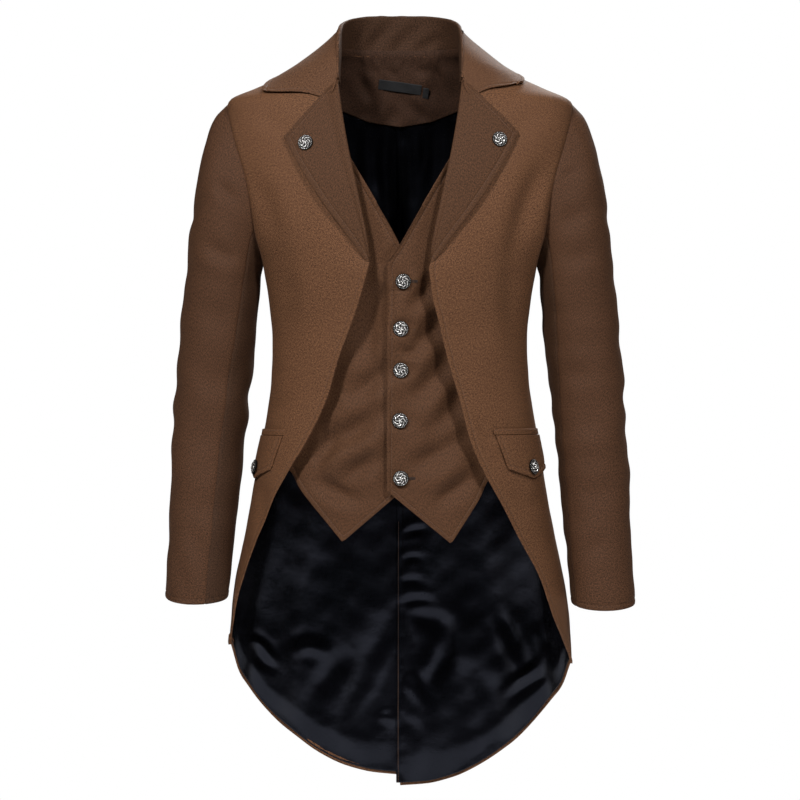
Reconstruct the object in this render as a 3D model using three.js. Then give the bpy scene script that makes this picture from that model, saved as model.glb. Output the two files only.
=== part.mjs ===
// A worn, hollow swallow-tail coat with its sewn-in waistcoat front.
// Millimetres, +Z up. The fronts face -Y and +X is the viewer's right, the wearer's left.
// The origin is in the middle of the neck, where the shoulders carry the coat.
import * as THREE from 'three';

// Driving dimensions
const CLOTH = 1.8; // suiting with its backing
const SATIN = 1.0; // lining
const RIBBON = 0.8; // woven labels
const SEAM_MARGIN = 0.15; // each piece stops this far short of the seam line
const REST_GAP = 0.3; // air under a piece that lies on another
const LINING_GAP = 0.9; // air between the lining and the cloth it backs
const NECK_TOP = 15; // height of the neck seam at the back and sides
const ARMHOLE_TOP = -54;
const ARMHOLE_BOTTOM = -262;
const ARMHOLE_FRONT_SWING = 30; // degrees that the armhole reaches round to the front
const ARMHOLE_BACK_SWING = 27;
const SIDE_SEAM = 93; // degrees from the centre front
const SIDE_SEAM_SETTLED = -352; // from here down it keeps that angle
const BREAK_Z = -264; // where the lapels' roll lines end
const SKIRT_TOP = -600; // below this the tail's rows bend to its rounded hem
const NUDGE = 1e-3; // step for surface directions
const BUTTON_NUDGE = 0.02; // longer step, for the direction that a button faces

const LEFT = -1; // the viewer's left
const RIGHT = 1;
const SIDES = [
  { side: LEFT, label: 'left' },
  { side: RIGHT, label: 'right' },
];

const rad = THREE.MathUtils.degToRad;
const deg = THREE.MathUtils.radToDeg;
const mix = THREE.MathUtils.lerp;
const ease = THREE.MathUtils.smoothstep;

// A table looked up by its first column, with no overshoot between its rows
function table(columns, rows) {
  const keys = rows.map((row) => row[0]);
  const rising = keys[keys.length - 1] > keys[0];
  const ordered = rising ? rows : [...rows].reverse();
  const read = {};
  columns.slice(1).forEach((column, index) => {
    read[column] = (key) => readTable(ordered, index + 1, key);
  });
  return read;
}

function readTable(rows, index, key) {
  const last = rows.length - 1;
  if (key <= rows[0][0]) return rows[0][index];
  if (key >= rows[last][0]) return rows[last][index];
  const k = rows.findIndex((row) => row[0] >= key) - 1;
  const step = rows[k + 1][0] - rows[k][0];
  const t = (key - rows[k][0]) / step;
  const a = tableSlope(rows, index, k) * step;
  const b = tableSlope(rows, index, k + 1) * step;
  const from = rows[k][index];
  const to = rows[k + 1][index];
  const t2 = t * t;
  const t3 = t2 * t;
  return from * (2 * t3 - 3 * t2 + 1) + a * (t3 - 2 * t2 + t) + to * (3 * t2 - 2 * t3) + b * (t3 - t2);
}

function tableSlope(rows, index, k) {
  const slope = (i) => (rows[i + 1][index] - rows[i][index]) / (rows[i + 1][0] - rows[i][0]);
  if (k === 0) return slope(0);
  if (k === rows.length - 1) return slope(k - 1);
  const before = slope(k - 1);
  const after = slope(k);
  return before * after <= 0 ? 0 : (2 * before * after) / (before + after);
}

// Horizontal sections of the coat body: half width, depth to the front and back, squareness, ridge offset
const BODY = table(['z', 'half', 'front', 'back', 'square', 'centre'], [
  [15, 82, 20, 66, 2.6, 8],
  [-10, 130, 48, 78, 2.6, 7],
  [-35, 184.5, 72, 88, 2.6, 6],
  [-52, 219, 82, 94, 2.6, 5],
  [-60, 222, 86, 97, 2.6, 5],
  [-97, 223, 100, 106, 2.55, 3],
  [-163, 212, 114, 114, 2.5, 0],
  [-220, 195, 121, 112, 2.45, 0],
  [-262, 175, 123, 107, 2.4, 0],
  [-300, 167, 121, 100, 2.35, 0],
  [-356, 161.5, 117, 92, 2.3, 0],
  [-407, 164, 116, 96, 2.3, 0],
  [-458, 171.5, 118, 108, 2.3, 0],
  [-509, 181, 120, 118, 2.25, 0],
  [-612, 198, 121, 130, 2.2, 0],
  [-714, 217, 119, 138, 2.2, 0],
  [-765, 220, 118, 141, 2.2, 0],
  [-820, 223, 117, 144, 2.2, 0],
  [-940, 225, 117, 148, 2.2, 0],
]);

// The lapels' roll line, then the cut-away front edges, as distances from the centre
const ROLL_LINE = table(['z', 'x'], [
  [15, 77],
  [-27, 77.5],
  [-49, 75.5],
  [-92, 69],
  [-122, 63.5],
  [-180, 51],
  [-235, 40],
  [-264, 36.5],
]);
const FRONT_EDGE = table(['z', 'left', 'right'], [
  [-264, 38, 35],
  [-305, 49, 40],
  [-333, 58, 47],
  [-381, 75, 58],
  [-433, 90, 73],
  [-484, 114, 86],
  [-525, 138, 104],
  [-562, 157, 124],
  [-594, 170, 141],
  [-663, 196, 175.5],
  [-689, 206, 186],
  [-715, 213, 197.5],
  [-735, 217.3, 207],
  [-765, 219.6, 218.5],
  [-780, 220.8, 221],
]);
const FRONT_END = { left: -745, right: -769 };

// Rounded hem of the tails, from the side in to the centre back. The wearer's left tail hangs lower.
const HEM_LEVEL = -820; // the section that those distances are measured on
const HEM = table(['x', 'left', 'right'], [
  [0, -928, -942],
  [35, -925, -940],
  [66, -917, -932],
  [108, -896, -911],
  [146, -866, -883],
  [172, -840, -855],
  [194, -812, -827],
  [211, -782, -801],
  [222, -746, -770],
]);

// Soft flutes that open behind the side seams, towards the hem of the tails
const FLUTE_TOP = -430;
const FLUTE_FULL = -850;
const FLUTE_DEPTH = 6;
const FLUTE_PITCH = 23; // degrees
const FLUTE_START = 100; // degrees from the centre front
const FLUTE_WHOLE = 118;

// Rows of the upper body, by height
const SHOULDER_ROWS = [15, 2, -16, -35];
const ARMHOLE_STEPS = 9;
const WAIST_ROWS = [-300, -342, -384, -426, -468, -512, -556, -600];

const armholeRow = (step) => armholeHeight((180 * step) / ARMHOLE_STEPS);
const ARMHOLE_ROWS = Array.from({ length: ARMHOLE_STEPS + 1 }, (_, step) => armholeRow(step));

function armholeHeight(phi) {
  return mix(ARMHOLE_BOTTOM, ARMHOLE_TOP, (1 + Math.cos(rad(phi))) / 2);
}

function armholeSwing(z, swing) {
  const along = (2 * (z - ARMHOLE_BOTTOM)) / (ARMHOLE_TOP - ARMHOLE_BOTTOM) - 1;
  return swing * Math.sqrt(Math.max(0, 1 - along * along));
}

function rowAt(rows, v) {
  const place = THREE.MathUtils.clamp(v, 0, 1) * (rows.length - 1);
  const k = Math.min(Math.floor(place), rows.length - 2);
  return mix(rows[k], rows[k + 1], place - k);
}

// A point of the coat body. theta runs from 0 at the centre front to 180 at the centre back.
function bodyPoint(side, theta, z, inset = 0) {
  const sine = Math.sin(rad(theta));
  const cosine = Math.cos(rad(theta));
  const square = BODY.square(z);
  const reach = (Math.abs(sine) ** square + Math.abs(cosine) ** square) ** (-1 / square);
  const depth = cosine > 0 ? BODY.front(z) : BODY.back(z);
  const flute = fluteAt(theta, z);
  const x = (BODY.half(z) - inset + flute) * reach * sine;
  const y = BODY.centre(z) - (depth - inset + flute) * reach * cosine;
  return new THREE.Vector3(side * x, y, z);
}

function fluteAt(theta, z) {
  const open = 1 - ease(z, FLUTE_FULL, FLUTE_TOP);
  const behind = ease(theta, FLUTE_START, FLUTE_WHOLE);
  const wave = -Math.cos(rad(((180 - theta) * 360) / FLUTE_PITCH));
  return open * behind * wave * (FLUTE_DEPTH / 2);
}

// The angle at which the front of the body is x from the centre
function frontAngle(x, z, inset = 0) {
  const square = BODY.square(z);
  const across = Math.min(Math.abs(x) / (BODY.half(z) - inset), 0.9999);
  const angle = deg(Math.atan2(across, (1 - across ** square) ** (1 / square)));
  return x < 0 ? -angle : angle;
}

function bodyNormal(side, theta, z, inset = 0) {
  const round = bodyPoint(side, theta + NUDGE, z, inset).sub(bodyPoint(side, theta - NUDGE, z, inset));
  const down = bodyPoint(side, theta, z - NUDGE, inset).sub(bodyPoint(side, theta, z + NUDGE, inset));
  return down.cross(round).multiplyScalar(side).normalize();
}

function onBody(side, theta, z, lift) {
  return bodyPoint(side, theta, z).addScaledVector(bodyNormal(side, theta, z), lift);
}

const STEPS_ROUND = 12;

// The angle that lies a given distance round the body from another
function stepRound(side, theta, z, distance) {
  let angle = theta;
  for (let k = 0; k < STEPS_ROUND; k += 1) {
    const perDegree = bodyPoint(side, angle + 0.5, z).distanceTo(bodyPoint(side, angle - 0.5, z));
    angle += distance / STEPS_ROUND / perDegree;
  }
  return angle;
}

const axisPoint = (point) => new THREE.Vector3(0, 0, point.z);

// A closed wall of even thickness behind a grid of points. head is the margin along its first row.
function wall(columns, rows, pointAt, thickness, options = {}) {
  const { insideOf = axisPoint, margin = SEAM_MARGIN, head = margin } = options;
  const outer = [];
  const normals = [];
  let facing = 0;
  for (let j = 0; j <= rows; j += 1) {
    for (let i = 0; i <= columns; i += 1) {
      const u = i / columns;
      const v = j / rows;
      const point = pointAt(u, v);
      const across = pointAt(Math.min(1, u + NUDGE), v).sub(pointAt(Math.max(0, u - NUDGE), v));
      const along = pointAt(u, Math.min(1, v + NUDGE)).sub(pointAt(u, Math.max(0, v - NUDGE)));
      const normal = across.cross(along).normalize();
      facing += normal.dot(point.clone().sub(insideOf(point, v)));
      outer.push(point);
      normals.push(normal);
    }
  }
  const outward = Math.sign(facing);
  const grid = pullInBorders(outer, columns, rows, margin, head);
  const inner = grid.map((point, k) => point.clone().addScaledVector(normals[k], -outward * thickness));
  return closedGrid(grid, inner, columns, rows, outward);
}

function pullInBorders(points, columns, rows, margin, head) {
  const at = (i, j) => points[j * (columns + 1) + i];
  return points.map((point, k) => {
    const i = k % (columns + 1);
    const j = Math.floor(k / (columns + 1));
    const moved = point.clone();
    const inwardU = i === 0 ? at(1, j) : i === columns ? at(columns - 1, j) : null;
    const inwardV = j === 0 ? at(i, 1) : j === rows ? at(i, rows - 1) : null;
    if (inwardU) moved.addScaledVector(inwardU.clone().sub(point).normalize(), margin);
    if (inwardV) moved.addScaledVector(inwardV.clone().sub(point).normalize(), j === 0 ? head : margin);
    return moved;
  });
}

function closedGrid(front, back, columns, rows, outward) {
  const width = columns + 1;
  const offset = front.length;
  const positions = [...front, ...back].flatMap((point) => [point.x, point.y, point.z]);
  const index = [];
  const quad = (a, b, c, d) => {
    if (outward > 0) index.push(a, b, c, a, c, d);
    else index.push(a, c, b, a, d, c);
  };
  for (let j = 0; j < rows; j += 1) {
    for (let i = 0; i < columns; i += 1) {
      const a = j * width + i;
      quad(a, a + 1, a + width + 1, a + width);
      quad(offset + a, offset + a + width, offset + a + width + 1, offset + a + 1);
    }
  }
  for (let i = 0; i < columns; i += 1) {
    const low = rows * width + i;
    quad(i, offset + i, offset + i + 1, i + 1);
    quad(low, low + 1, offset + low + 1, offset + low);
  }
  for (let j = 0; j < rows; j += 1) {
    const near = j * width;
    const far = near + columns;
    quad(near, near + width, offset + near + width, offset + near);
    quad(far, offset + far, offset + far + width, far + width);
  }
  const geometry = new THREE.BufferGeometry();
  geometry.setAttribute('position', new THREE.Float32BufferAttribute(positions, 3));
  geometry.setIndex(index);
  geometry.computeVertexNormals();
  return geometry;
}

// Coat fronts
const FRONT_COLUMNS = 7;
const FRONT_SKIRT_ROWS = 5;

// Evenly spaced heights after the first, down to the last
function heights(from, to, count) {
  return Array.from({ length: count }, (_, k) => mix(from, to, (k + 1) / count));
}

function frontRows(label) {
  const skirt = heights(SKIRT_TOP, FRONT_END[label], FRONT_SKIRT_ROWS);
  return [...SHOULDER_ROWS, ...ARMHOLE_ROWS, ...WAIST_ROWS, ...skirt];
}

// How far the coat's front edge is from the centre
function coatEdgeX(label, z) {
  return z > BREAK_Z ? ROLL_LINE.x(z) : FRONT_EDGE[label](z);
}

function frontOuterAngle(z) {
  if (z >= ARMHOLE_TOP) return 90;
  if (z >= ARMHOLE_BOTTOM) return 90 - armholeSwing(z, ARMHOLE_FRONT_SWING);
  return mix(SIDE_SEAM, 90, ease(z, SIDE_SEAM_SETTLED, ARMHOLE_BOTTOM));
}

function coatFront(side, label) {
  const rows = frontRows(label);
  const pointAt = (u, v) => {
    const z = rowAt(rows, v);
    return bodyPoint(side, mix(frontAngle(coatEdgeX(label, z), z), frontOuterAngle(z), u), z);
  };
  return wall(FRONT_COLUMNS, rows.length - 1, pointAt, CLOTH);
}

// Coat backs, each from the centre-back seam to the armhole and side seam, with its tail
const BACK_COLUMNS = 8;
const TAIL_ROWS = 8;
const VENT_TOP = -470;
const VENT_FOOT = -900;
const VENT_SPREAD = 2.2; // how far the vent's edges have parted at the hem
const VENT_ANGLE = 160; // only the cloth from here to the centre back moves

function backOuterAngle(z) {
  if (z >= ARMHOLE_TOP) return 90;
  if (z >= ARMHOLE_BOTTOM) return 90 + armholeSwing(z, ARMHOLE_BACK_SWING);
  return frontOuterAngle(z);
}

function hemHeight(label, theta) {
  return HEM[label](bodyPoint(RIGHT, theta, HEM_LEVEL).x);
}

// The height of a row at one place on it. Rows past the listed ones bend down to the hem.
function tailHeight(rows, label, theta, v) {
  const listed = rows.length - 1;
  const place = THREE.MathUtils.clamp(v, 0, 1) * (listed + TAIL_ROWS);
  if (place <= listed) return rowAt(rows, place / listed);
  return mix(SKIRT_TOP, hemHeight(label, theta), (place - listed) / TAIL_ROWS);
}

function ventShift(theta, z) {
  return (VENT_SPREAD / 2) * ease(theta, VENT_ANGLE, 180) * (1 - ease(z, VENT_FOOT, VENT_TOP));
}

function backPoint(side, label, rows, u, v) {
  const flat = tailHeight(rows, label, 180, v);
  const outerAngle = backOuterAngle(Math.max(flat, SKIRT_TOP));
  const theta = mix(180, outerAngle, u);
  const z = tailHeight(rows, label, theta, v);
  const point = bodyPoint(side, theta, z);
  point.x += side * ventShift(theta, z);
  return point;
}

function coatBack(side, label) {
  const rows = [...SHOULDER_ROWS, ...ARMHOLE_ROWS, ...WAIST_ROWS];
  const pointAt = (u, v) => backPoint(side, label, rows, u, v);
  return wall(BACK_COLUMNS, rows.length - 1 + TAIL_ROWS, pointAt, CLOTH);
}

// Neck facing and lining, inside the backs
const FACING_EDGE = table(['x', 'z'], [
  [0, -76],
  [40, -69],
  [72, -56],
  [95, -47],
  [140, -66],
  [205, -112],
]);
const FACING_NECK_WIDTH = 84; // half widths of the facing
const FACING_EDGE_WIDTH = 97;
const FACING_MARGIN = 1.5; // the facing stops this far above the lining's first row
const FACING_COLUMNS = 20;
const FACING_ROWS = 4;
const LINING_TOP = -60; // level of the lining's first row, before it follows the facing's edge
const LINING_LEVEL = -190; // its rows are level from here down
const LINING_ROWS = [LINING_TOP, -85, -110, -140, -165, LINING_LEVEL];
const LINING_HEM = 4; // cloth that shows below the lining
const LINING_MARGIN = 0.4;
const LINING_SIDE = 100; // angle at which the lining's rows meet the armhole

// The angle at which the back of the body is x from the centre
function backAngle(x, z) {
  return 180 - frontAngle(x, z);
}

function insideBack(side, theta, z, lift) {
  const point = onBody(side, theta, z, -lift);
  point.x += side * ventShift(theta, z);
  return point;
}

function neckFacing() {
  const pointAt = (u, v) => {
    const side = u < 0.5 ? LEFT : RIGHT;
    const x = Math.abs(u - 0.5) * 2 * mix(FACING_NECK_WIDTH, FACING_EDGE_WIDTH, v);
    const z = mix(NECK_TOP - 1, FACING_EDGE.z(x) + FACING_MARGIN, v);
    return insideBack(side, backAngle(x, z), z, CLOTH + LINING_GAP);
  };
  return wall(FACING_COLUMNS, FACING_ROWS, pointAt, SATIN);
}

function liningHeight(level, theta) {
  const x = bodyPoint(RIGHT, theta, LINING_TOP).x;
  const follow = THREE.MathUtils.clamp((level - LINING_LEVEL) / (LINING_TOP - LINING_LEVEL), 0, 1);
  return level + (FACING_EDGE.z(x) - LINING_TOP) * follow;
}

function lining(side, label) {
  const rows = [...LINING_ROWS, ...ARMHOLE_ROWS.filter((z) => z < LINING_LEVEL), ...WAIST_ROWS];
  const pointAt = (u, v) => {
    const level = tailHeight(rows, label, 180, v);
    const outerAngle = backOuterAngle(liningHeight(Math.max(level, SKIRT_TOP), LINING_SIDE));
    const theta = mix(180, outerAngle, u);
    const z = liningHeight(tailHeight(rows, label, theta, v), theta);
    const hem = hemHeight(label, theta);
    const raise = z < SKIRT_TOP ? (LINING_HEM * (SKIRT_TOP - z)) / (SKIRT_TOP - hem) : 0;
    return insideBack(side, theta, z + raise, CLOTH + LINING_GAP);
  };
  return wall(BACK_COLUMNS, rows.length - 1 + TAIL_ROWS, pointAt, SATIN, { margin: LINING_MARGIN });
}

// Sleeves, by length down the sleeve: the outer and inner lines, the middle's y, half the depth
const SLEEVE = table(['down', 'outerX', 'outerZ', 'innerX', 'innerZ', 'middle', 'depth'], [
  [0, 220, -54, 175, -262, 2, 60],
  [30, 235, -70, 176, -267, 2, 62],
  [70, 247.5, -102, 177.5, -276, 1, 63],
  [130, 259.5, -155, 179, -290, 0, 64],
  [200, 268.5, -222, 181, -312, 0, 63],
  [280, 276, -290, 184, -344, 2, 61],
  [360, 282, -362, 188.5, -388, 3, 59],
  [440, 288, -440, 195, -450, 2, 56],
  [520, 292, -520, 202.5, -524, -4, 53],
  [600, 295, -600, 210, -602, -13, 50],
  [690, 298.5, -689, 218, -689, -26, 46],
]);
const SLEEVE_LENGTH = 690;
const SLEEVE_SHIFT = { left: 7, right: -1 }; // the two cuffs hang at slightly different heights
const CUFF_TILT = 9; // the front of the cuff dips
const CUFF_TILT_START = 0.6; // share of the sleeve's length
const SLEEVE_ROUND = 2.15;
const SLEEVE_HEAD_MARGIN = 1; // the two cloths meet at an angle round the armhole
const SLEEVE_HEAD = 110; // by this far down, the sleeve has left the armhole's shape
const TOP_SLEEVE_COLUMNS = 12;
const UNDER_SLEEVE_COLUMNS = 6;
const SLEEVE_STEPS = [0, 22, 60, 110, 170, 235, 300, 360, 410, 460, 520, 580, 636, 690];
// Forearm seam, then hind-arm seam, in degrees round the sleeve from its outer line through the front
const SLEEVE_SEAMS = {
  left: { foreTop: 127, foreCuff: 108, hindTop: 244, hindCuff: 236 },
  right: { foreTop: 130, foreCuff: 150, hindTop: 244, hindCuff: 250 },
};

function armholePoint(side, phi) {
  const z = armholeHeight(phi);
  const front = Math.sin(rad(phi)) > 0;
  const swing = Math.sin(rad(phi)) * (front ? ARMHOLE_FRONT_SWING : ARMHOLE_BACK_SWING);
  return bodyPoint(side, 90 - swing, z);
}

function sleeveRing(side, label, phi, down) {
  const sine = Math.sin(rad(phi));
  const cosine = Math.cos(rad(phi));
  const reach = (Math.abs(sine) ** SLEEVE_ROUND + Math.abs(cosine) ** SLEEVE_ROUND) ** (-1 / SLEEVE_ROUND);
  const across = 0.5 + 0.5 * reach * cosine;
  const along = down / SLEEVE_LENGTH;
  const x = mix(SLEEVE.innerX(down), SLEEVE.outerX(down), across);
  const y = SLEEVE.middle(down) - SLEEVE.depth(down) * reach * sine;
  const z = mix(SLEEVE.innerZ(down), SLEEVE.outerZ(down), across);
  const tilt = CUFF_TILT * sine * ease(along, CUFF_TILT_START, 1);
  return new THREE.Vector3(side * x, y, z + SLEEVE_SHIFT[label] * along - tilt);
}

function sleevePoint(side, label, phi, down) {
  const point = sleeveRing(side, label, phi, down);
  const hold = 1 - ease(down, 0, SLEEVE_HEAD);
  const offset = armholePoint(side, phi).sub(sleeveRing(side, label, phi, 0));
  return point.addScaledVector(offset, hold);
}

function sleeveSeam(label, seam, down) {
  const seams = SLEEVE_SEAMS[label];
  return mix(seams[`${seam}Top`], seams[`${seam}Cuff`], ease(down, SLEEVE_HEAD, SLEEVE_LENGTH));
}

function sleevePanel(side, label, columns, fromSeam, toSeam) {
  const pointAt = (u, v) => {
    const down = rowAt(SLEEVE_STEPS, v);
    return sleevePoint(side, label, mix(fromSeam(down), toSeam(down), u), down);
  };
  const insideOf = (point, v) => {
    const down = rowAt(SLEEVE_STEPS, v);
    return sleevePoint(side, label, 0, down).add(sleevePoint(side, label, 180, down)).multiplyScalar(0.5);
  };
  return wall(columns, SLEEVE_STEPS.length - 1, pointAt, CLOTH, { insideOf, head: SLEEVE_HEAD_MARGIN });
}

function topSleeve(side, label) {
  const hind = (down) => sleeveSeam(label, 'hind', down) - 360;
  const fore = (down) => sleeveSeam(label, 'fore', down);
  return sleevePanel(side, label, TOP_SLEEVE_COLUMNS, hind, fore);
}

function underSleeve(side, label) {
  const fore = (down) => sleeveSeam(label, 'fore', down);
  const hind = (down) => sleeveSeam(label, 'hind', down);
  return sleevePanel(side, label, UNDER_SLEEVE_COLUMNS, fore, hind);
}

// Lapels, folded back on the fronts
const LAPEL_TOP_Z = -36;
const LAPEL_END_Z = -262;
const LAPEL_TIP = { left: { x: 147, z: -103 }, right: { x: 149, z: -98 } };
// Outer edge, as a share of the lapel's width at its tip
const LAPEL_EDGE = table(['z', 'out'], [
  [-98, 1],
  [-135, 0.85],
  [-187, 0.58],
  [-238, 0.24],
  [-266, 0.05],
]);
const LAPEL_ROWS = 10;
const LAPEL_COLUMNS = 6;
const LAPEL_LIFT = 4; // how far the lapel's middle stands off the front
const LAPEL_FOOT = 3; // width at the break

function lapelPoint(side, label, u, v) {
  const tip = LAPEL_TIP[label];
  const rollZ = mix(LAPEL_TOP_Z, LAPEL_END_Z, v);
  const edgeZ = mix(tip.z, LAPEL_END_Z, v);
  const rollX = ROLL_LINE.x(rollZ);
  const width = (tip.x - ROLL_LINE.x(tip.z)) * LAPEL_EDGE.out(edgeZ);
  const edgeX = ROLL_LINE.x(edgeZ) + Math.max(LAPEL_FOOT, width);
  const x = mix(rollX, edgeX, u);
  const z = mix(rollZ, edgeZ, u);
  const along = THREE.MathUtils.clamp(u, 0, 1);
  const bulge = LAPEL_LIFT * Math.sin(Math.PI * along ** 0.6) * (1 - 0.6 * v);
  return onBody(side, frontAngle(x, z), z, REST_GAP + CLOTH + bulge);
}

function lapel(side, label) {
  const pointAt = (u, v) => lapelPoint(side, label, u, v);
  return wall(LAPEL_COLUMNS, LAPEL_ROWS, pointAt, CLOTH);
}

// Collar: neck seam, fold and outer edge, from the front end (0) to the centre back (1)
const COLLAR_NECK = table(['w', 'x', 'y', 'z'], [
  [0, 75, -46, -34],
  [0.17, 74.5, -31, -10],
  [0.33, 74, -13, 5],
  [0.42, 74.2, 2.5, 13.2],
  [0.5, 79.5, 12, 15.8],
  [0.67, 70, 51.4, 15.6],
  [0.83, 40, 70, 15.6],
  [1, 0, 74, 15.6],
]);
const COLLAR_FOLD = table(['w', 'x', 'y', 'z'], [
  [0, 78.5, -60, -25],
  [0.17, 79.5, -42, 2],
  [0.33, 80, -16, 28],
  [0.5, 78, 12, 47],
  [0.67, 66, 40, 58],
  [0.83, 37, 62, 63],
  [1, 0, 70, 64],
]);
const COLLAR_EDGE = table(['w', 'theta', 'z', 'bulge', 'sag'], [
  [0, 52, -43, 6, 24],
  [0.17, 72, -29, 5, 8],
  [0.33, 98, -20, 3, 0],
  [0.5, 125, -18, 3, 0],
  [0.67, 143, -15, 5, 0],
  [0.83, 162, -10, 5, 0],
  [1, 180, -7, 5, 0],
]);
const COLLAR_TIP_RAISE = { left: 0, right: 11 }; // the right leaf's tip sits higher
const COLLAR_ROLL = 3.4; // radius of the fold
const COLLAR_LIFT = 3.2; // how far the outer edge stands off the coat
const STAND_SHARE = 0.25;
const FOLD_SHARE = 0.45;
const COLLAR_CREST = 0.58; // where the leaf bulges most, from its fold to its edge
const COLLAR_NUDGE = 0.02;
const COLLAR_COLUMNS = 28;
const COLLAR_ROWS = 13;

const readPoint = (read, w, side) => new THREE.Vector3(side * read.x(w), read.y(w), read.z(w));

// The neck, fold and edge of one cut across the collar, with its own directions
function collarCut(u) {
  const side = u < 0.5 ? LEFT : RIGHT;
  const raise = u < 0.5 ? COLLAR_TIP_RAISE.left : COLLAR_TIP_RAISE.right;
  const w = 1 - Math.abs(u - 0.5) * 2;
  const edgeZ = COLLAR_EDGE.z(w) + raise * (1 - w) ** 4;
  const neck = readPoint(COLLAR_NECK, w, side);
  const fold = readPoint(COLLAR_FOLD, w, side);
  const edge = onBody(side, COLLAR_EDGE.theta(w), edgeZ, COLLAR_LIFT);
  const ahead = readPoint(COLLAR_FOLD, Math.min(1, w + COLLAR_NUDGE), side);
  const behind = readPoint(COLLAR_FOLD, Math.max(0, w - COLLAR_NUDGE), side);
  const tangent = ahead.sub(behind).normalize();
  const out = edge.clone().sub(neck);
  out.addScaledVector(tangent, -out.dot(tangent)).normalize();
  const up = new THREE.Vector3().crossVectors(tangent, out).normalize();
  if (up.dot(fold.clone().sub(neck)) < 0) up.negate();
  const middle = fold.addScaledVector(up, -COLLAR_ROLL);
  return { side, w, neck, edge, middle, tangent, out, up };
}

// The leaf bows from the fold to its edge
function leafPoint(cut, t) {
  const { side, w, edge, middle, tangent, out, up } = cut;
  const start = middle.clone().addScaledVector(out, COLLAR_ROLL);
  const chord = edge.clone().sub(start);
  const raise = up.clone().addScaledVector(chord, -up.dot(chord) / chord.lengthSq()).normalize();
  const control = start.clone().lerp(edge, COLLAR_CREST).addScaledVector(raise, 2 * COLLAR_EDGE.bulge(w));
  control.addScaledVector(tangent, -COLLAR_EDGE.sag(w));
  const point = new THREE.QuadraticBezierCurve3(start, control, edge).getPoint(t);
  return clearOfBody(side, point, COLLAR_LIFT);
}

function collarPoint(u, v) {
  const cut = collarCut(u);
  if (v >= FOLD_SHARE) return leafPoint(cut, (v - FOLD_SHARE) / (1 - FOLD_SHARE));
  const turn = (Math.PI * Math.max(0, v - STAND_SHARE)) / (FOLD_SHARE - STAND_SHARE);
  const rolled = cut.middle.clone().addScaledVector(cut.out, -COLLAR_ROLL * Math.cos(turn));
  rolled.addScaledVector(cut.up, COLLAR_ROLL * Math.sin(turn));
  return v < STAND_SHARE ? cut.neck.lerp(rolled, v / STAND_SHARE) : rolled;
}

const SHOULDER_SHARE = 0.97; // nearer the end of the shoulder than this, nothing is moved

// Moves a point that would lie too close to the coat straight out in front of it or behind it
function clearOfBody(side, point, lift) {
  const out = side * point.x;
  if (out > BODY.half(point.z) * SHOULDER_SHARE) return point;
  const theta = frontAngle(out, point.z);
  const front = onBody(side, theta, point.z, lift).y;
  const back = onBody(side, 180 - theta, point.z, lift).y;
  if (point.y > front && point.y < BODY.centre(point.z)) point.y = front;
  if (point.y < back && point.y > BODY.centre(point.z)) point.y = back;
  return point;
}

function collar() {
  return wall(COLLAR_COLUMNS, COLLAR_ROWS, collarPoint, CLOTH, { insideOf: () => new THREE.Vector3() });
}

// Waistcoat fronts, inside the coat: the V and placket edge, and the pointed lower edge
const WAISTCOAT_LEVEL = -420; // below this the rows bend to the points
// x and z of each half's point, and heights of its lower edge at the placket and underlap
const WAISTCOAT = {
  left: {
    inset: 11,
    edge: table(['z', 'x'], [
      [-92, -80],
      [-125, -63],
      [-238, 0],
      [-266, 13],
      [-560, 13],
    ]),
    point: { x: -72, z: -611 },
    inner: -538,
    outer: -498,
  },
  right: {
    inset: 8.2,
    edge: table(['z', 'x'], [
      [-92, 82],
      [-132, 60],
      [-238, 0],
      [-268, -16.5],
      [-560, -16.5],
    ]),
    point: { x: 64, z: -613 },
    inner: -547,
    outer: -508,
  },
};
const WAISTCOAT_UNDERLAP = 30; // how far it runs in behind the coat fronts
const WAISTCOAT_ROWS = [-92, -112, -138, -170, -204, -238, -268, -305, -342, -380, -420];
const WAISTCOAT_LOWER_ROWS = 5;
const WAISTCOAT_LOWER_LEVEL = -520; // the placket and underlap are read down to here
const WAISTCOAT_COLUMNS = 8;
const WAISTCOAT_SEWN_GAP = 1.1; // air between it and the coat fronts where the two are sewn
const WAISTCOAT_SEWN_FROM = 0.6; // share of its width at which it starts to near them

function waistcoatPoint(side, label, u, v) {
  const spec = WAISTCOAT[label];
  const listed = WAISTCOAT_ROWS.length - 1;
  const place = THREE.MathUtils.clamp(v, 0, 1) * (listed + WAISTCOAT_LOWER_ROWS);
  const lower = Math.max(0, (place - listed) / WAISTCOAT_LOWER_ROWS);
  const upperLevel = rowAt(WAISTCOAT_ROWS, place / listed);
  const level = lower > 0 ? mix(WAISTCOAT_LEVEL, WAISTCOAT_LOWER_LEVEL, lower) : upperLevel;
  const inner = spec.edge.x(level);
  const outer = side * (coatEdgeX(label, level) + WAISTCOAT_UNDERLAP);
  const middle = mix((inner + outer) / 2, spec.point.x, lower);
  const x = u < 0.5 ? mix(inner, middle, u * 2) : mix(middle, outer, u * 2 - 1);
  const foot = u < 0.5 ? mix(spec.inner, spec.point.z, u * 2) : mix(spec.point.z, spec.outer, u * 2 - 1);
  const z = lower > 0 ? mix(WAISTCOAT_LEVEL, foot, lower) : level;
  const inset = mix(spec.inset, CLOTH + WAISTCOAT_SEWN_GAP, ease(u, WAISTCOAT_SEWN_FROM, 1));
  return bodyPoint(side, frontAngle(x * side, z, inset), z, inset);
}

function waistcoat(side, label) {
  const pointAt = (u, v) => waistcoatPoint(side, label, u, v);
  return wall(WAISTCOAT_COLUMNS, WAISTCOAT_ROWS.length - 1 + WAISTCOAT_LOWER_ROWS, pointAt, CLOTH);
}

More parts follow.
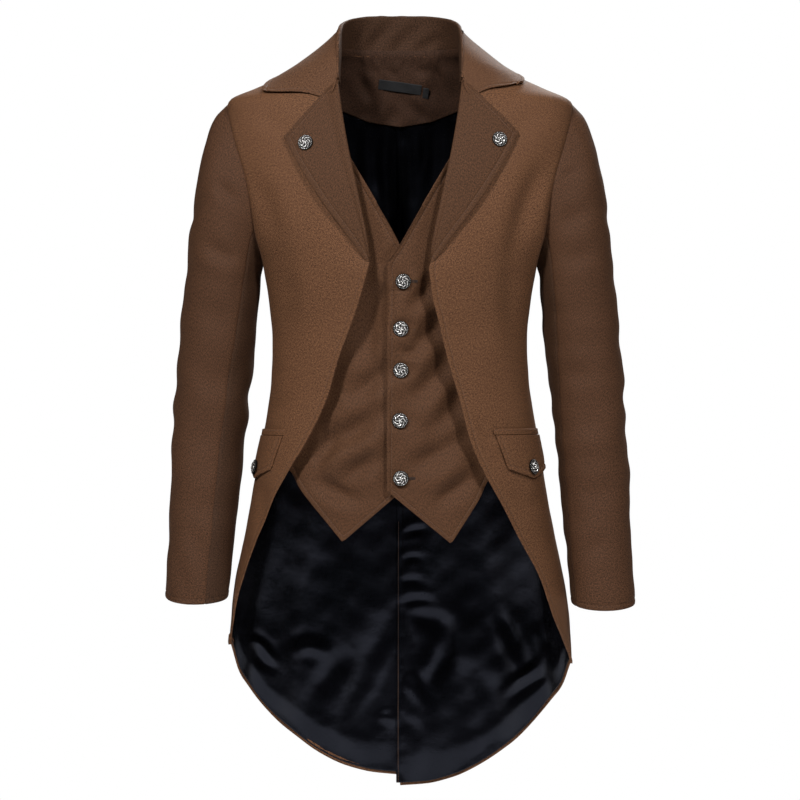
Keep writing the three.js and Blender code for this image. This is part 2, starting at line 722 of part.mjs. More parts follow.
// Hip pockets: a welt, and a pointed flap below it
const POCKET = {
  left: { theta: 76, top: -470 },
  right: { theta: 61, top: -469 },
};
const WELT_WIDTH = 108;
const WELT_HEIGHT = 8;
const FLAP_TOP_WIDTH = 105;
const FLAP_FOOT_WIDTH = 84;
const FLAP_SIDE = 43;
const FLAP_TIP = 55;
const FLAP_STAND = 1.5; // its foot stands off the front
const POCKET_COLUMNS = 8;
const WELT_ROWS = 2;
const FLAP_ROWS = 4;

function pocketWelt(side, label) {
  const { theta, top } = POCKET[label];
  const pointAt = (u, v) => {
    const z = top - WELT_HEIGHT * v;
    return onBody(side, stepRound(side, theta, z, WELT_WIDTH * (u - 0.5)), z, REST_GAP + CLOTH);
  };
  return wall(POCKET_COLUMNS, WELT_ROWS, pointAt, CLOTH);
}

function flapPoint(side, label, u, v) {
  const { theta, top } = POCKET[label];
  const reach = mix(FLAP_TIP, FLAP_SIDE, Math.abs(u - 0.5) * 2);
  const width = mix(FLAP_TOP_WIDTH, FLAP_FOOT_WIDTH, v);
  const z = top - WELT_HEIGHT - REST_GAP - reach * v;
  const lift = REST_GAP + CLOTH + FLAP_STAND * v;
  return onBody(side, stepRound(side, theta, z, width * (u - 0.5)), z, lift);
}

function pocketFlap(side, label) {
  const pointAt = (u, v) => flapPoint(side, label, u, v);
  return wall(POCKET_COLUMNS, FLAP_ROWS, pointAt, CLOTH);
}

// Domed metal buttons with a short shank
const BUTTON_RADIUS = 9.8;
const BUTTON_FACETS = 14;
const BUTTON_SHANK = 1.4;
// Radius and height, from the foot of the shank round the rim to the top of the dome
const BUTTON_PROFILE = [
  [0, 0],
  [3, 0],
  [3, BUTTON_SHANK],
  [8.6, 1.6],
  [BUTTON_RADIUS, 2.6],
  [BUTTON_RADIUS - 0.3, 3.5],
  [8, 4.9],
  [4.6, 6.1],
  [0, 6.6],
];

function button() {
  const profile = BUTTON_PROFILE.map(([radius, height]) => new THREE.Vector2(radius, height));
  return new THREE.LatheGeometry(profile, BUTTON_FACETS);
}

function faceAlong(mesh, point, direction) {
  mesh.position.copy(point);
  mesh.quaternion.setFromUnitVectors(new THREE.Vector3(0, 1, 0), direction.clone().normalize());
}

const LAPEL_BUTTON = { left: { u: 0.74, v: 0.16 }, right: { u: 0.78, v: 0.14 } };
const FLAP_BUTTON = 0.74; // how far down the flap
const WAISTCOAT_BUTTONS = [
  { x: 4, z: -285 },
  { x: 1, z: -344 },
  { x: 1, z: -396 },
  { x: 0, z: -459 },
  { x: 1, z: -531 },
];

const BUTTON_CLEAR = 0.5; // between the waistcoat and its buttons, which sit on a curve

// Labels on the neck facing, both bare
const RIBBON_COLUMNS = 6;
const RIBBON_CLEAR = 0.6; // the facing curves below them
const LABEL = { x: 0, z: -22, width: 57, height: 13, tilt: -8 };
const SIZE_TAB = { x: 34, z: -30, width: 8, height: 14, tilt: -6 };

function ribbonPiece({ x, z, width, height, tilt }) {
  const lift = CLOTH + LINING_GAP + SATIN + RIBBON_CLEAR;
  const pointAt = (u, v) => {
    const across = (u - 0.5) * width;
    const down = (v - 0.5) * height;
    const px = x + across * Math.cos(rad(tilt)) + down * Math.sin(rad(tilt));
    const pz = z + across * Math.sin(rad(tilt)) - down * Math.cos(rad(tilt));
    const side = px < 0 ? LEFT : RIGHT;
    return insideBack(side, backAngle(Math.abs(px), pz), pz, lift);
  };
  return wall(RIBBON_COLUMNS, 1, pointAt, RIBBON, { margin: 0 });
}

// Materials
const twill = new THREE.MeshStandardMaterial({ color: 0x684734, roughness: 0.85, metalness: 0 });
const innerTwill = new THREE.MeshStandardMaterial({ color: 0x3c291f, roughness: 0.9, metalness: 0 });
const satin = new THREE.MeshStandardMaterial({ color: 0x0c0c10, roughness: 0.4, metalness: 0 });
const ribbon = new THREE.MeshStandardMaterial({ color: 0x08080a, roughness: 0.6, metalness: 0 });
const silver = new THREE.MeshStandardMaterial({ color: 0x8d8a86, roughness: 0.35, metalness: 1 });

const group = new THREE.Group();

function add(name, geometry, material) {
  const mesh = new THREE.Mesh(geometry, material);
  mesh.name = name;
  group.add(mesh);
  return mesh;
}

for (const { side, label } of SIDES) {
  add(`coat_front_${label}`, coatFront(side, label), twill);
  add(`coat_back_${label}`, coatBack(side, label), twill);
  add(`sleeve_top_${label}`, topSleeve(side, label), twill);
  add(`sleeve_under_${label}`, underSleeve(side, label), twill);
  add(`lapel_${label}`, lapel(side, label), twill);
  add(`waistcoat_${label}`, waistcoat(side, label), twill);
  add(`pocket_welt_${label}`, pocketWelt(side, label), twill);
  add(`pocket_flap_${label}`, pocketFlap(side, label), twill);
  add(`lining_${label}`, lining(side, label), satin);
}
add('collar', collar(), twill);
add('neck_facing', neckFacing(), innerTwill);
add('label', ribbonPiece(LABEL), ribbon);
add('size_tab', ribbonPiece(SIZE_TAB), ribbon);

// Buttons sit just clear of the cloth, each facing as its cloth does
function seatButton(name, pointAt, u, v) {
  const point = pointAt(u, v);
  const across = pointAt(u + BUTTON_NUDGE, v).sub(pointAt(u - BUTTON_NUDGE, v));
  const along = pointAt(u, v + BUTTON_NUDGE).sub(pointAt(u, v - BUTTON_NUDGE));
  const normal = across.cross(along).normalize();
  if (normal.dot(point.clone().setZ(0)) < 0) normal.negate();
  faceAlong(add(name, button(), silver), point.addScaledVector(normal, REST_GAP), normal);
}

for (const { side, label } of SIDES) {
  const lapelSeat = LAPEL_BUTTON[label];
  seatButton(`button_lapel_${label}`, (u, v) => lapelPoint(side, label, u, v), lapelSeat.u, lapelSeat.v);
  seatButton(`button_pocket_${label}`, (u, v) => flapPoint(side, label, u, v), 0.5, FLAP_BUTTON);
}
WAISTCOAT_BUTTONS.forEach(({ x, z }, index) => {
  const inset = WAISTCOAT.right.inset - BUTTON_CLEAR;
  const theta = frontAngle(x, z, inset);
  const point = bodyPoint(RIGHT, theta, z, inset);
  const normal = bodyNormal(RIGHT, theta, z, inset);
  faceAlong(add(`button_waistcoat_${index + 1}`, button(), silver), point, normal);
});

export default group;
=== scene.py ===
import math
from functools import partial

import bpy
import numpy as np
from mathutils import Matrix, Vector


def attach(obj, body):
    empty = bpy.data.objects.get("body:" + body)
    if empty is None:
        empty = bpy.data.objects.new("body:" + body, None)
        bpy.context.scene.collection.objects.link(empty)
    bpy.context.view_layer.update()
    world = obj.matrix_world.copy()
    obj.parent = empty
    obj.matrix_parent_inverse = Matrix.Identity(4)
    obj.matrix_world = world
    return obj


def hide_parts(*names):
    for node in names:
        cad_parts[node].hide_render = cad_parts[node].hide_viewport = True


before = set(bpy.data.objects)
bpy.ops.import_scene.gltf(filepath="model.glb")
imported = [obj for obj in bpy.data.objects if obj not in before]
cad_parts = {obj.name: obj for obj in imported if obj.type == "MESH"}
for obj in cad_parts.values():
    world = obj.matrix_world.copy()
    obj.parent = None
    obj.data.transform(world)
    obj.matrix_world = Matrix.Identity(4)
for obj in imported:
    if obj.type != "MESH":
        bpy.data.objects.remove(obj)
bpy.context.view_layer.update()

MM = 0.001
LEFT, RIGHT = -1, 1  # the viewer's left and right
SIDES = ((LEFT, "left"), (RIGHT, "right"))

# Driving dimensions, as the solids have them
CLOTH = 1.8
SATIN = 1.0
REST_GAP = 0.3
LINING_GAP = 0.9
NECK_TOP = 15
ARMHOLE_TOP = -54
ARMHOLE_BOTTOM = -262
ARMHOLE_FRONT_SWING = 30  # degrees that the armhole cuts into the front
ARMHOLE_BACK_SWING = 27
SIDE_SEAM = 93  # degrees round the body from the centre front
SIDE_SEAM_SETTLED = -352
BREAK_Z = -264  # where the lapels end and the fronts start to cut away
SKIRT_TOP = -600


class Table:
    """Columns looked up by the first one, with no overshoot between the rows."""

    def __init__(self, columns, rows):
        data = np.array(sorted(rows), float)
        self.keys = data[:, 0]
        self.step = np.diff(self.keys)
        self.values = {name: data[:, k + 1] for k, name in enumerate(columns[1:])}
        self.slopes = {name: self._slopes(v) for name, v in self.values.items()}

    def _slopes(self, values):
        rise = np.diff(values) / self.step
        before, after = rise[:-1], rise[1:]
        together = before * after > 0
        total = np.where(together, before + after, 1)
        inner = np.where(together, 2 * before * after / total, 0)
        return np.concatenate([rise[:1], inner, rise[-1:]])

    def __getattr__(self, name):
        return lambda key: self.read(name, key)

    def read(self, name, key):
        key = np.clip(key, self.keys[0], self.keys[-1])
        k = np.clip(np.searchsorted(self.keys, key) - 1, 0, len(self.keys) - 2)
        step = self.step[k]
        t = (key - self.keys[k]) / step
        values, slopes = self.values[name], self.slopes[name]
        t2, t3 = t * t, t * t * t
        start = values[k] * (2 * t3 - 3 * t2 + 1) + slopes[k] * step * (t3 - 2 * t2 + t)
        end = values[k + 1] * (3 * t2 - 2 * t3) + slopes[k + 1] * step * (t3 - t2)
        return start + end


def ease(x, low, high):
    t = np.clip((x - low) / (high - low), 0, 1)
    return t * t * (3 - 2 * t)


def mix(a, b, t):
    return a + (b - a) * t


def points(x, y, z):
    return np.stack(np.broadcast_arrays(x, y, z), axis=-1).astype(float)


def unit(vectors):
    length = np.linalg.norm(vectors, axis=-1, keepdims=True)
    return vectors / np.maximum(length, 1e-9)


# Horizontal sections of the coat body: half width, depth before and behind its middle, squareness, and
# how far the middle lies behind the origin
BODY = Table(("z", "half", "front", "back", "square", "centre"), [
    (15, 82, 20, 66, 2.6, 8),
    (-10, 130, 48, 78, 2.6, 7),
    (-35, 184.5, 72, 88, 2.6, 6),
    (-52, 219, 82, 94, 2.6, 5),
    (-60, 222, 86, 97, 2.6, 5),
    (-97, 223, 100, 106, 2.55, 3),
    (-163, 212, 114, 114, 2.5, 0),
    (-220, 195, 121, 112, 2.45, 0),
    (-262, 175, 123, 107, 2.4, 0),
    (-300, 167, 121, 100, 2.35, 0),
    (-356, 161.5, 117, 92, 2.3, 0),
    (-407, 164, 116, 96, 2.3, 0),
    (-458, 171.5, 118, 108, 2.3, 0),
    (-509, 181, 120, 118, 2.25, 0),
    (-612, 198, 121, 130, 2.2, 0),
    (-714, 217, 119, 138, 2.2, 0),
    (-765, 220, 118, 141, 2.2, 0),
    (-820, 223, 117, 144, 2.2, 0),
    (-940, 225, 117, 148, 2.2, 0),
])

# The lapels' roll line, then the cut-away front edges, as distances from the centre
ROLL_LINE = Table(("z", "x"), [
    (15, 77), (-27, 77.5), (-49, 75.5), (-92, 69), (-122, 63.5), (-180, 51), (-235, 40), (-264, 36.5),
])
FRONT_EDGE = Table(("z", "left", "right"), [
    (-264, 38, 35),
    (-305, 49, 40),
    (-333, 58, 47),
    (-381, 75, 58),
    (-433, 90, 73),
    (-484, 114, 86),
    (-525, 138, 104),
    (-562, 157, 124),
    (-594, 170, 141),
    (-663, 196, 175.5),
    (-689, 206, 186),
    (-715, 213, 197.5),
    (-735, 217.3, 207),
    (-765, 219.6, 218.5),
    (-780, 220.8, 221),
])
FRONT_END = {"left": -745, "right": -769}

# Rounded hem of the tails, from the centre back out to the side
HEM_LEVEL = -820
HEM = Table(("x", "left", "right"), [
    (0, -928, -942),
    (35, -925, -940),
    (66, -917, -932),
    (108, -896, -911),
    (146, -866, -883),
    (172, -840, -855),
    (194, -812, -827),
    (211, -782, -801),
    (222, -746, -770),
])

FLUTE_TOP = -430
FLUTE_FULL = -850
FLUTE_DEPTH = 6
FLUTE_PITCH = 23  # degrees
FLUTE_START = 100
FLUTE_WHOLE = 118
VENT_TOP = -470
VENT_FOOT = -900
VENT_ANGLE = 160
VENT_OPENING = (VENT_TOP - 60, VENT_TOP - 10)  # the stretch over which the vent opens
VENT_LAP = 5.5  # degrees of the left tail that lie outside the right one
VENT_LAP_SHARE = 0.16  # of the tail's width
LINING_SPREAD = 0.3
LINING_LAP = 1.3  # degrees of the right lining that lie on the left one

SHOULDER_ROWS = [15, 2, -16, -35]
WAIST_ROWS = [-300, -342, -384, -426, -468, -512, -556, -600]
TAIL_ROWS = 8


def armhole_height(phi):
    return mix(ARMHOLE_BOTTOM, ARMHOLE_TOP, (1 + np.cos(np.radians(phi))) / 2)


ARMHOLE_ROWS = [float(armhole_height(20 * step)) for step in range(10)]
BODY_ROWS = SHOULDER_ROWS + ARMHOLE_ROWS + WAIST_ROWS


def armhole_swing(z, swing):
    along = 2 * (z - ARMHOLE_BOTTOM) / (ARMHOLE_TOP - ARMHOLE_BOTTOM) - 1
    return swing * np.sqrt(np.maximum(0, 1 - along * along))


def row_at(rows, v):
    return np.interp(np.clip(v, 0, 1) * (len(rows) - 1), np.arange(len(rows)), rows)


def flute_at(theta, z):
    opened = 1 - ease(z, FLUTE_FULL, FLUTE_TOP)
    behind = ease(theta, FLUTE_START, FLUTE_WHOLE)
    return opened * behind * -np.cos(np.radians((180 - theta) * 360 / FLUTE_PITCH)) * FLUTE_DEPTH / 2


def body_point(side, theta, z, inset=0):
    """A point of the coat body, from theta 0 at the centre front to 180 at the centre back."""
    sine, cosine = np.sin(np.radians(theta)), np.cos(np.radians(theta))
    square = BODY.square(z)
    reach = (np.abs(sine) ** square + np.abs(cosine) ** square) ** (-1 / square)
    depth = np.where(cosine > 0, BODY.front(z), BODY.back(z))
    flute = flute_at(theta, z)
    x = (BODY.half(z) - inset + flute) * reach * sine
    y = BODY.centre(z) - (depth - inset + flute) * reach * cosine
    return points(side * x, y, z)


def front_angle(x, z, inset=0):
    """The angle at which the front of the body is x from the centre."""
    square = BODY.square(z)
    across = np.minimum(np.abs(x) / (BODY.half(z) - inset), 0.9999)
    angle = np.degrees(np.arctan2(across, (1 - across ** square) ** (1 / square)))
    return np.where(np.asarray(x) < 0, -angle, angle)


def body_normal(side, theta, z, inset=0):
    step = 1e-2
    across = body_point(side, theta + step, z, inset) - body_point(side, theta - step, z, inset)
    down = body_point(side, theta, z - step, inset) - body_point(side, theta, z + step, inset)
    return unit(np.cross(down, across) * np.asarray(side, float)[..., None])


def on_body(side, theta, z, lift):
    return body_point(side, theta, z) + body_normal(side, theta, z) * np.asarray(lift, float)[..., None]


def step_round(side, theta, z, distance):
    """The angle that lies a given distance round the body from another."""
    steps = 12
    angle = theta + 0 * z
    for _ in range(steps):
        ahead, behind = body_point(side, angle + 0.5, z), body_point(side, angle - 0.5, z)
        angle = angle + distance / steps / np.linalg.norm(ahead - behind, axis=-1)
    return angle


def armhole_point(side, phi):
    swing = np.sin(np.radians(phi))
    swing = swing * np.where(swing > 0, ARMHOLE_FRONT_SWING, ARMHOLE_BACK_SWING)
    return body_point(side, 90 - swing, armhole_height(phi))


ARMHOLE_HOLD = 15


def armhole_hold(side):
    """Folds fade out where three pieces of cloth meet at the armhole seam."""
    seam = armhole_point(side, np.linspace(0, 360, 121))

    def weight(grid):
        gap = np.linalg.norm(grid[:, :, None, :] - seam, axis=-1).min(axis=-1)
        return ease(gap, 0.5, ARMHOLE_HOLD)

    return weight


# Relief of worn cloth
FACINGS = {"front": (0, -1, 0), "back": (0, 1, 0), "left": (-1, 0, 0), "right": (1, 0, 0)}


def seen_flat(place, facing):
    """Coordinates across and up a view of the named side."""
    across = {"front": place[..., 0], "back": -place[..., 0], "left": -place[..., 1], "right": place[..., 1]}
    return np.stack([across[facing], place[..., 2]], axis=-1)


CREASE_REACH = 4  # widths from its middle line
CREASE_POINTS = 11  # along its curve
CREASE_TAPER = 0.7
TURNED_AWAY = 0.05  # a crease fades where the cloth turns away from its view
TURNED_TOWARD = 0.4
CREASE_BANKS = ((1.7, 1.1, 1.0), (-1.9, 1.2, 0.6))  # place, width and share of the ridge on each side


class Crease:
    """A soft trough (depth above 0) or ridge (below 0) along a curve through three points of a view."""

    def __init__(self, start, middle, end, depth, width, ridge=0.45, facing="front"):
        start, middle, end = (np.array(place, float) for place in (start, middle, end))
        t = np.linspace(0, 1, CREASE_POINTS)[:, None]
        control = 2 * middle - (start + end) / 2
        self.curve = (1 - t) ** 2 * start + 2 * t * (1 - t) * control + t * t * end
        self.depth, self.width, self.ridge, self.facing = depth, width, ridge, facing

    def lift(self, place, normal):
        flat = seen_flat(place, self.facing)
        reach = CREASE_REACH * self.width
        low, high = self.curve.min(0) - reach, self.curve.max(0) + reach
        near = np.all((flat > low) & (flat < high), axis=-1)
        near &= normal @ np.array(FACINGS[self.facing], float) > TURNED_AWAY
        lift = np.zeros(flat.shape[:-1])
        if not near.any():
            return lift
        spot = flat[near]
        best = np.full(len(spot), 1e9)
        offset, along = np.zeros(len(spot)), np.zeros(len(spot))
        for k in range(len(self.curve) - 1):
            a, b = self.curve[k], self.curve[k + 1]
            run = b - a
            t = np.clip((spot - a) @ run / (run @ run), 0, 1)
            away = spot - (a + t[:, None] * run)
            distance = np.hypot(away[:, 0], away[:, 1])
            nearer = distance < best
            sign = np.sign(run[0] * away[:, 1] - run[1] * away[:, 0])
            offset = np.where(nearer, distance * sign, offset)
            along = np.where(nearer, (k + t) / (len(self.curve) - 1), along)
            best = np.where(nearer, distance, best)
        s = offset / self.width
        shape = -np.exp(-s * s)
        for bank, width, share in CREASE_BANKS:
            shape += share * self.ridge * np.exp(-((s - bank) / width) ** 2)
        taper = np.sin(np.pi * np.clip(along, 0.02, 0.98)) ** CREASE_TAPER
        facing = ease(normal[near] @ np.array(FACINGS[self.facing], float), TURNED_AWAY, TURNED_TOWARD)
        lift[near] = self.depth * shape * taper * facing
        return lift


def creases(rows, facing="front"):
    """Each row holds a start, middle and end in millimetres across and up the view, a depth and a width."""
    return [Crease(*row, facing=facing) for row in rows]


def undulation(place, seed, size, height, count=7):
    """Low waves that never repeat within the garment."""
    rng = np.random.default_rng(seed)
    total = np.zeros(place.shape[:-1])
    for _ in range(count):
        direction = unit(rng.normal(size=3) * (1, 1, 0.7))
        pitch = size * rng.uniform(0.7, 1.6)
        total += np.sin(place @ direction * 2 * math.pi / pitch + rng.uniform(0, 7))
    return height * total / math.sqrt(count)


def wave(seed, size, height):
    return partial(undulation, seed=seed, size=size, height=height)


# Sheets of cloth on a grid
STITCH_LINE = 7.0  # from a turned edge to its topstitching
TURNED = (0, 0.8, 2.0, 3.6, 5.2, 6.3, STITCH_LINE, 7.7, 8.9, 11, 14)
SEAMED = (0, 0.7, 1.6, 3.0, 5.5, 9)
PLAIN = (0, 1.5, 4)
OFFSETS = {"turned": TURNED, "seam": SEAMED, "plain": PLAIN, "hem": TURNED}
PLAIN_EDGES = dict.fromkeys(("left", "right", "top", "foot"), "plain")


def resample(grid, count, first, last):
    """Spaces each row's points along its own length, with the listed ones near its two ends."""
    length = np.linalg.norm(np.diff(grid, axis=1), axis=-1)
    run = np.concatenate([np.zeros((len(grid), 1)), np.cumsum(length, axis=1)], axis=1)
    total = run[:, -1]
    head, tail = np.array(OFFSETS[first]), np.array(OFFSETS[last])
    fit = np.minimum(1, total / (head[-1] + tail[-1]) * 0.9)[:, None]
    head, tail = head * fit, total[:, None] - tail[::-1] * fit
    share = np.linspace(0, 1, count + 2)[1:-1]
    middle = head[:, -1:] + (tail[:, :1] - head[:, -1:]) * share
    want = np.concatenate([head, middle, tail], axis=1)
    out = np.empty((len(grid), want.shape[1], 3))
    for k in range(len(grid)):
        for axis in range(3):
            out[k, :, axis] = np.interp(want[k], run[k], grid[k, :, axis])
    return out


def grid_normals(grid):
    across = np.gradient(grid, axis=1)
    down = np.gradient(grid, axis=0)
    return unit(np.cross(across, down))


SEAM_DEPTH = 0.8  # a sewn edge rolls this far into its seam
SEAM_WIDTH = 2.4
PUFF_HEIGHT = 0.35
PUFF_MIDDLE = 3.4
PUFF_WIDTH = 3.6
GROOVE_DEPTH = 0.65
GROOVE_WIDTH = 1.1
RIPPLE_HEIGHT = 0.11
RIPPLE_WIDTH = 4.5
RIPPLE_TURNS = (0.42, 0.73, 0.21)  # radians a millimetre along the edge


def edge_lift(distance, kind, along, seed):
    """A turned edge is puffed up to its stitching, which sinks in; a sewn edge rolls into its seam."""
    if kind == "seam":
        return -SEAM_DEPTH * np.exp(-(distance / SEAM_WIDTH) ** 2)
    if kind == "plain":
        return 0 * distance
    ripple = sum(np.sin(along * turn + k * seed) for k, turn in enumerate(RIPPLE_TURNS, start=1))
    puff = PUFF_HEIGHT * np.clip(1 - ((distance - PUFF_MIDDLE) / PUFF_WIDTH) ** 2, 0, 1)
    groove = -GROOVE_DEPTH * np.exp(-((distance - STITCH_LINE) / GROOVE_WIDTH) ** 2)
    pucker = RIPPLE_HEIGHT * ripple * np.exp(-((distance - STITCH_LINE) / RIPPLE_WIDTH) ** 2)
    return puff + groove + pucker


EDGE_ROUNDING = 0.42  # share of the cloth's thickness by which a free edge is rounded
EDGE_SINK = 0.3  # the most that folds sink at an edge, where a panel has a floor
SINK_FROM = 2  # from the nearest edge, where they start to sink deeper
SINK_FULL = 30


def away_from_axis(grid):
    out = grid.copy()
    out[..., 2] = 0
    return out


def toward_axis(grid):
    return -away_from_axis(grid)


class Panel:
    """A sheet of cloth: its shaped grid, distances to its edges, and the mesh made from them.

    The creases of its relief and its waves are scaled by hold, and sink no deeper than its floor.
    """

    def __init__(self, name, point_at, columns, rows, edges, material, thickness=CLOTH,
                 outward=away_from_axis, relief=(), waves=(), seed=1, slot="suiting", node=None, fine=3,
                 grain=0, hold=None, floor=None, held="hung", rests_on=()):
        self.name, self.edges, self.thickness = name, edges, thickness
        u, v = np.meshgrid(np.linspace(0, 1, columns * fine + 1), np.linspace(0, 1, rows * fine + 1))
        grid = resample(point_at(u, v), columns, edges["left"], edges["right"])
        grid = resample(grid.transpose(1, 0, 2), rows, edges["top"], edges["foot"])
        grid = grid.transpose(1, 0, 2)
        normal = grid_normals(grid)
        self.flip = 1 if np.sum(normal * outward(grid)) > 0 else -1
        normal *= self.flip
        self.place = grid
        self.runs = self.run_lengths(grid)
        lift = sum([crease.lift(grid, normal) for crease in relief], np.zeros(grid.shape[:2]))
        for swell in waves:
            lift = lift + swell(grid)
        if hold:
            lift = lift * hold(grid)
        if floor:
            nearest = np.minimum.reduce(list(self.runs.values()))
            lift = np.maximum(lift, -mix(EDGE_SINK, floor, ease(nearest, SINK_FROM, SINK_FULL)))
        lift = lift + self.edge_relief(seed)
        self.grid = self.pull_in(grid + normal * lift[..., None])
        self.normal = grid_normals(self.grid) * self.flip
        self.object = self.build(material, grain)
        if node:
            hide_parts(node)
        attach(self.object, "root")

    @staticmethod
    def run_lengths(grid):
        across = np.linalg.norm(np.diff(grid, axis=1), axis=-1)
        down = np.linalg.norm(np.diff(grid, axis=0), axis=-1)
        across = np.concatenate([np.zeros((len(grid), 1)), np.cumsum(across, axis=1)], axis=1)
        down = np.concatenate([np.zeros((1, grid.shape[1])), np.cumsum(down, axis=0)], axis=0)
        return {"left": across, "right": across[:, -1:] - across, "top": down, "foot": down[-1:] - down}

    def edge_relief(self, seed):
        total = 0
        for side, kind in self.edges.items():
            along = self.runs["top"] if side in ("left", "right") else self.runs["left"]
            total = total + edge_lift(self.runs[side], kind, along, seed)
        return np.maximum(total, -SEAM_DEPTH)

    def pull_in(self, grid):
        """Rounded edges bulge by half the cloth, so their points step back by as much."""
        out = grid.copy()
        back = EDGE_ROUNDING * self.thickness
        borders = {"left": (np.s_[:, 0], np.s_[:, 1]), "right": (np.s_[:, -1], np.s_[:, -2]),
                   "top": (np.s_[0], np.s_[1]), "foot": (np.s_[-1], np.s_[-2])}
        for side, (edge, inner) in borders.items():
            if self.edges[side] != "seam":
                out[edge] += unit(grid[inner] - grid[edge]) * back
        return out

    def rim_bulge(self, column, row):
        """How far the middle of the rim stands out at one border point."""
        sides = []
        if column == 0:
            sides.append("left")
        if column == self.grid.shape[1] - 1:
            sides.append("right")
        if row == 0:
            sides.append("top")
        if row == self.grid.shape[0] - 1:
            sides.append("foot")
        sewn = any(self.edges[side] == "seam" for side in sides)
        return 0 if sewn else EDGE_ROUNDING * self.thickness

    def border(self):
        rows, columns = self.grid.shape[:2]
        walk = [(0, i) for i in range(columns)]
        walk += [(j, columns - 1) for j in range(1, rows)]
        walk += [(rows - 1, i) for i in range(columns - 2, -1, -1)]
        return walk + [(j, 0) for j in range(rows - 2, 0, -1)]

    def build(self, material, grain):
        rows, columns = self.grid.shape[:2]
        outer = self.grid.reshape(-1, 3)
        inner = (self.grid - self.normal * self.thickness).reshape(-1, 3)
        index = np.arange(rows * columns).reshape(rows, columns)
        corners = [index[:-1, :-1], index[:-1, 1:], index[1:, 1:], index[1:, :-1]]
        quads = np.stack(corners, axis=-1).reshape(-1, 4)
        offset = rows * columns
        faces = [quads if self.flip > 0 else quads[:, ::-1]]
        faces.append((quads[:, ::-1] if self.flip > 0 else quads) + offset)
        walk = self.border()
        ring_index = np.array([index[j, i] for j, i in walk])
        middle = (outer[ring_index] + inner[ring_index]) / 2
        centre_row = np.clip([j for j, _ in walk], 1, rows - 2)
        centre_column = np.clip([i for _, i in walk], 1, columns - 2)
        away = unit(outer[ring_index] - self.grid[centre_row, centre_column])
        bulge = np.array([self.rim_bulge(i, j) for j, i in walk])[:, None]
        vertices = [outer, inner]
        rings = [ring_index]
        count = 2 * offset
        for turn in (math.pi / 4, math.pi / 2, 3 * math.pi / 4):
            toward = math.cos(turn)
            ring = middle + (outer[ring_index] - middle) * toward + away * bulge * math.sin(turn)
            vertices.append(ring)
            rings.append(np.arange(len(walk)) + count)
            count += len(walk)
        rings.append(ring_index + offset)
        for a, b in zip(rings[:-1], rings[1:]):
            strip = np.stack([a, b, np.roll(b, -1), np.roll(a, -1)], axis=-1)
            faces.append(strip if self.flip > 0 else strip[:, ::-1])
        flat = self.flat_layout(grain).reshape(-1, 2)
        layout = np.concatenate([flat, flat] + [flat[ring_index]] * 3)
        return make_mesh(self.name, np.concatenate(vertices), np.concatenate(faces), material, layout)

    def flat_layout(self, grain):
        """Where each point lies on the flat cloth, in metres, turned by the grain's angle."""
        across = self.runs["left"] - self.runs["left"][:, self.grid.shape[1] // 2][:, None]
        down = np.broadcast_to(self.runs["top"].mean(axis=1, keepdims=True), across.shape)
        angle = math.radians(grain)
        turned_u = across * math.cos(angle) - down * math.sin(angle)
        turned_v = across * math.sin(angle) + down * math.cos(angle)
        return np.stack([turned_u, turned_v], axis=-1) * MM

    def line(self, side, distance=STITCH_LINE, start=0, end=0):
        """Points and normals along a line that keeps a distance from one edge."""
        axis = 1 if side in ("left", "right") else 0
        run = self.runs[side]
        along = self.runs["top"] if axis else self.runs["left"]
        beyond = self.runs["foot"] if axis else self.runs["right"]
        count = self.grid.shape[0] if axis else self.grid.shape[1]
        spots, normals = [], []
        for k in range(count):
            cut = (k, slice(None)) if axis else (slice(None), k)
            order = np.argsort(run[cut])
            reach = run[cut][order]
            here = np.array([np.interp(distance, reach, self.grid[cut][order][:, c]) for c in range(3)])
            facing = np.array([np.interp(distance, reach, self.normal[cut][order][:, c]) for c in range(3)])
            travelled = np.interp(distance, reach, along[cut][order])
            left_over = np.interp(distance, reach, beyond[cut][order])
            if travelled >= start and left_over >= end:
                spots.append(here)
                normals.append(facing)
        return np.array(spots), unit(np.array(normals))


def make_mesh(name, vertices, faces, material, layout=None, smooth=True):
    mesh = bpy.data.meshes.new(name)
    mesh.from_pydata((vertices * MM).tolist(), [], faces.tolist() if hasattr(faces, "tolist") else faces)
    mesh.polygons.foreach_set("use_smooth", [smooth] * len(mesh.polygons))
    if layout is not None:
        corner = np.empty(len(mesh.loops), np.int32)
        mesh.loops.foreach_get("vertex_index", corner)
        layer = mesh.uv_layers.new(name="cloth")
        layer.data.foreach_set("uv", layout[corner].astype(np.float32).ravel())
    mesh.materials.append(material)
    mesh.validate()
    body = bpy.data.objects.new(name, mesh)
    bpy.context.scene.collection.objects.link(body)
    return body


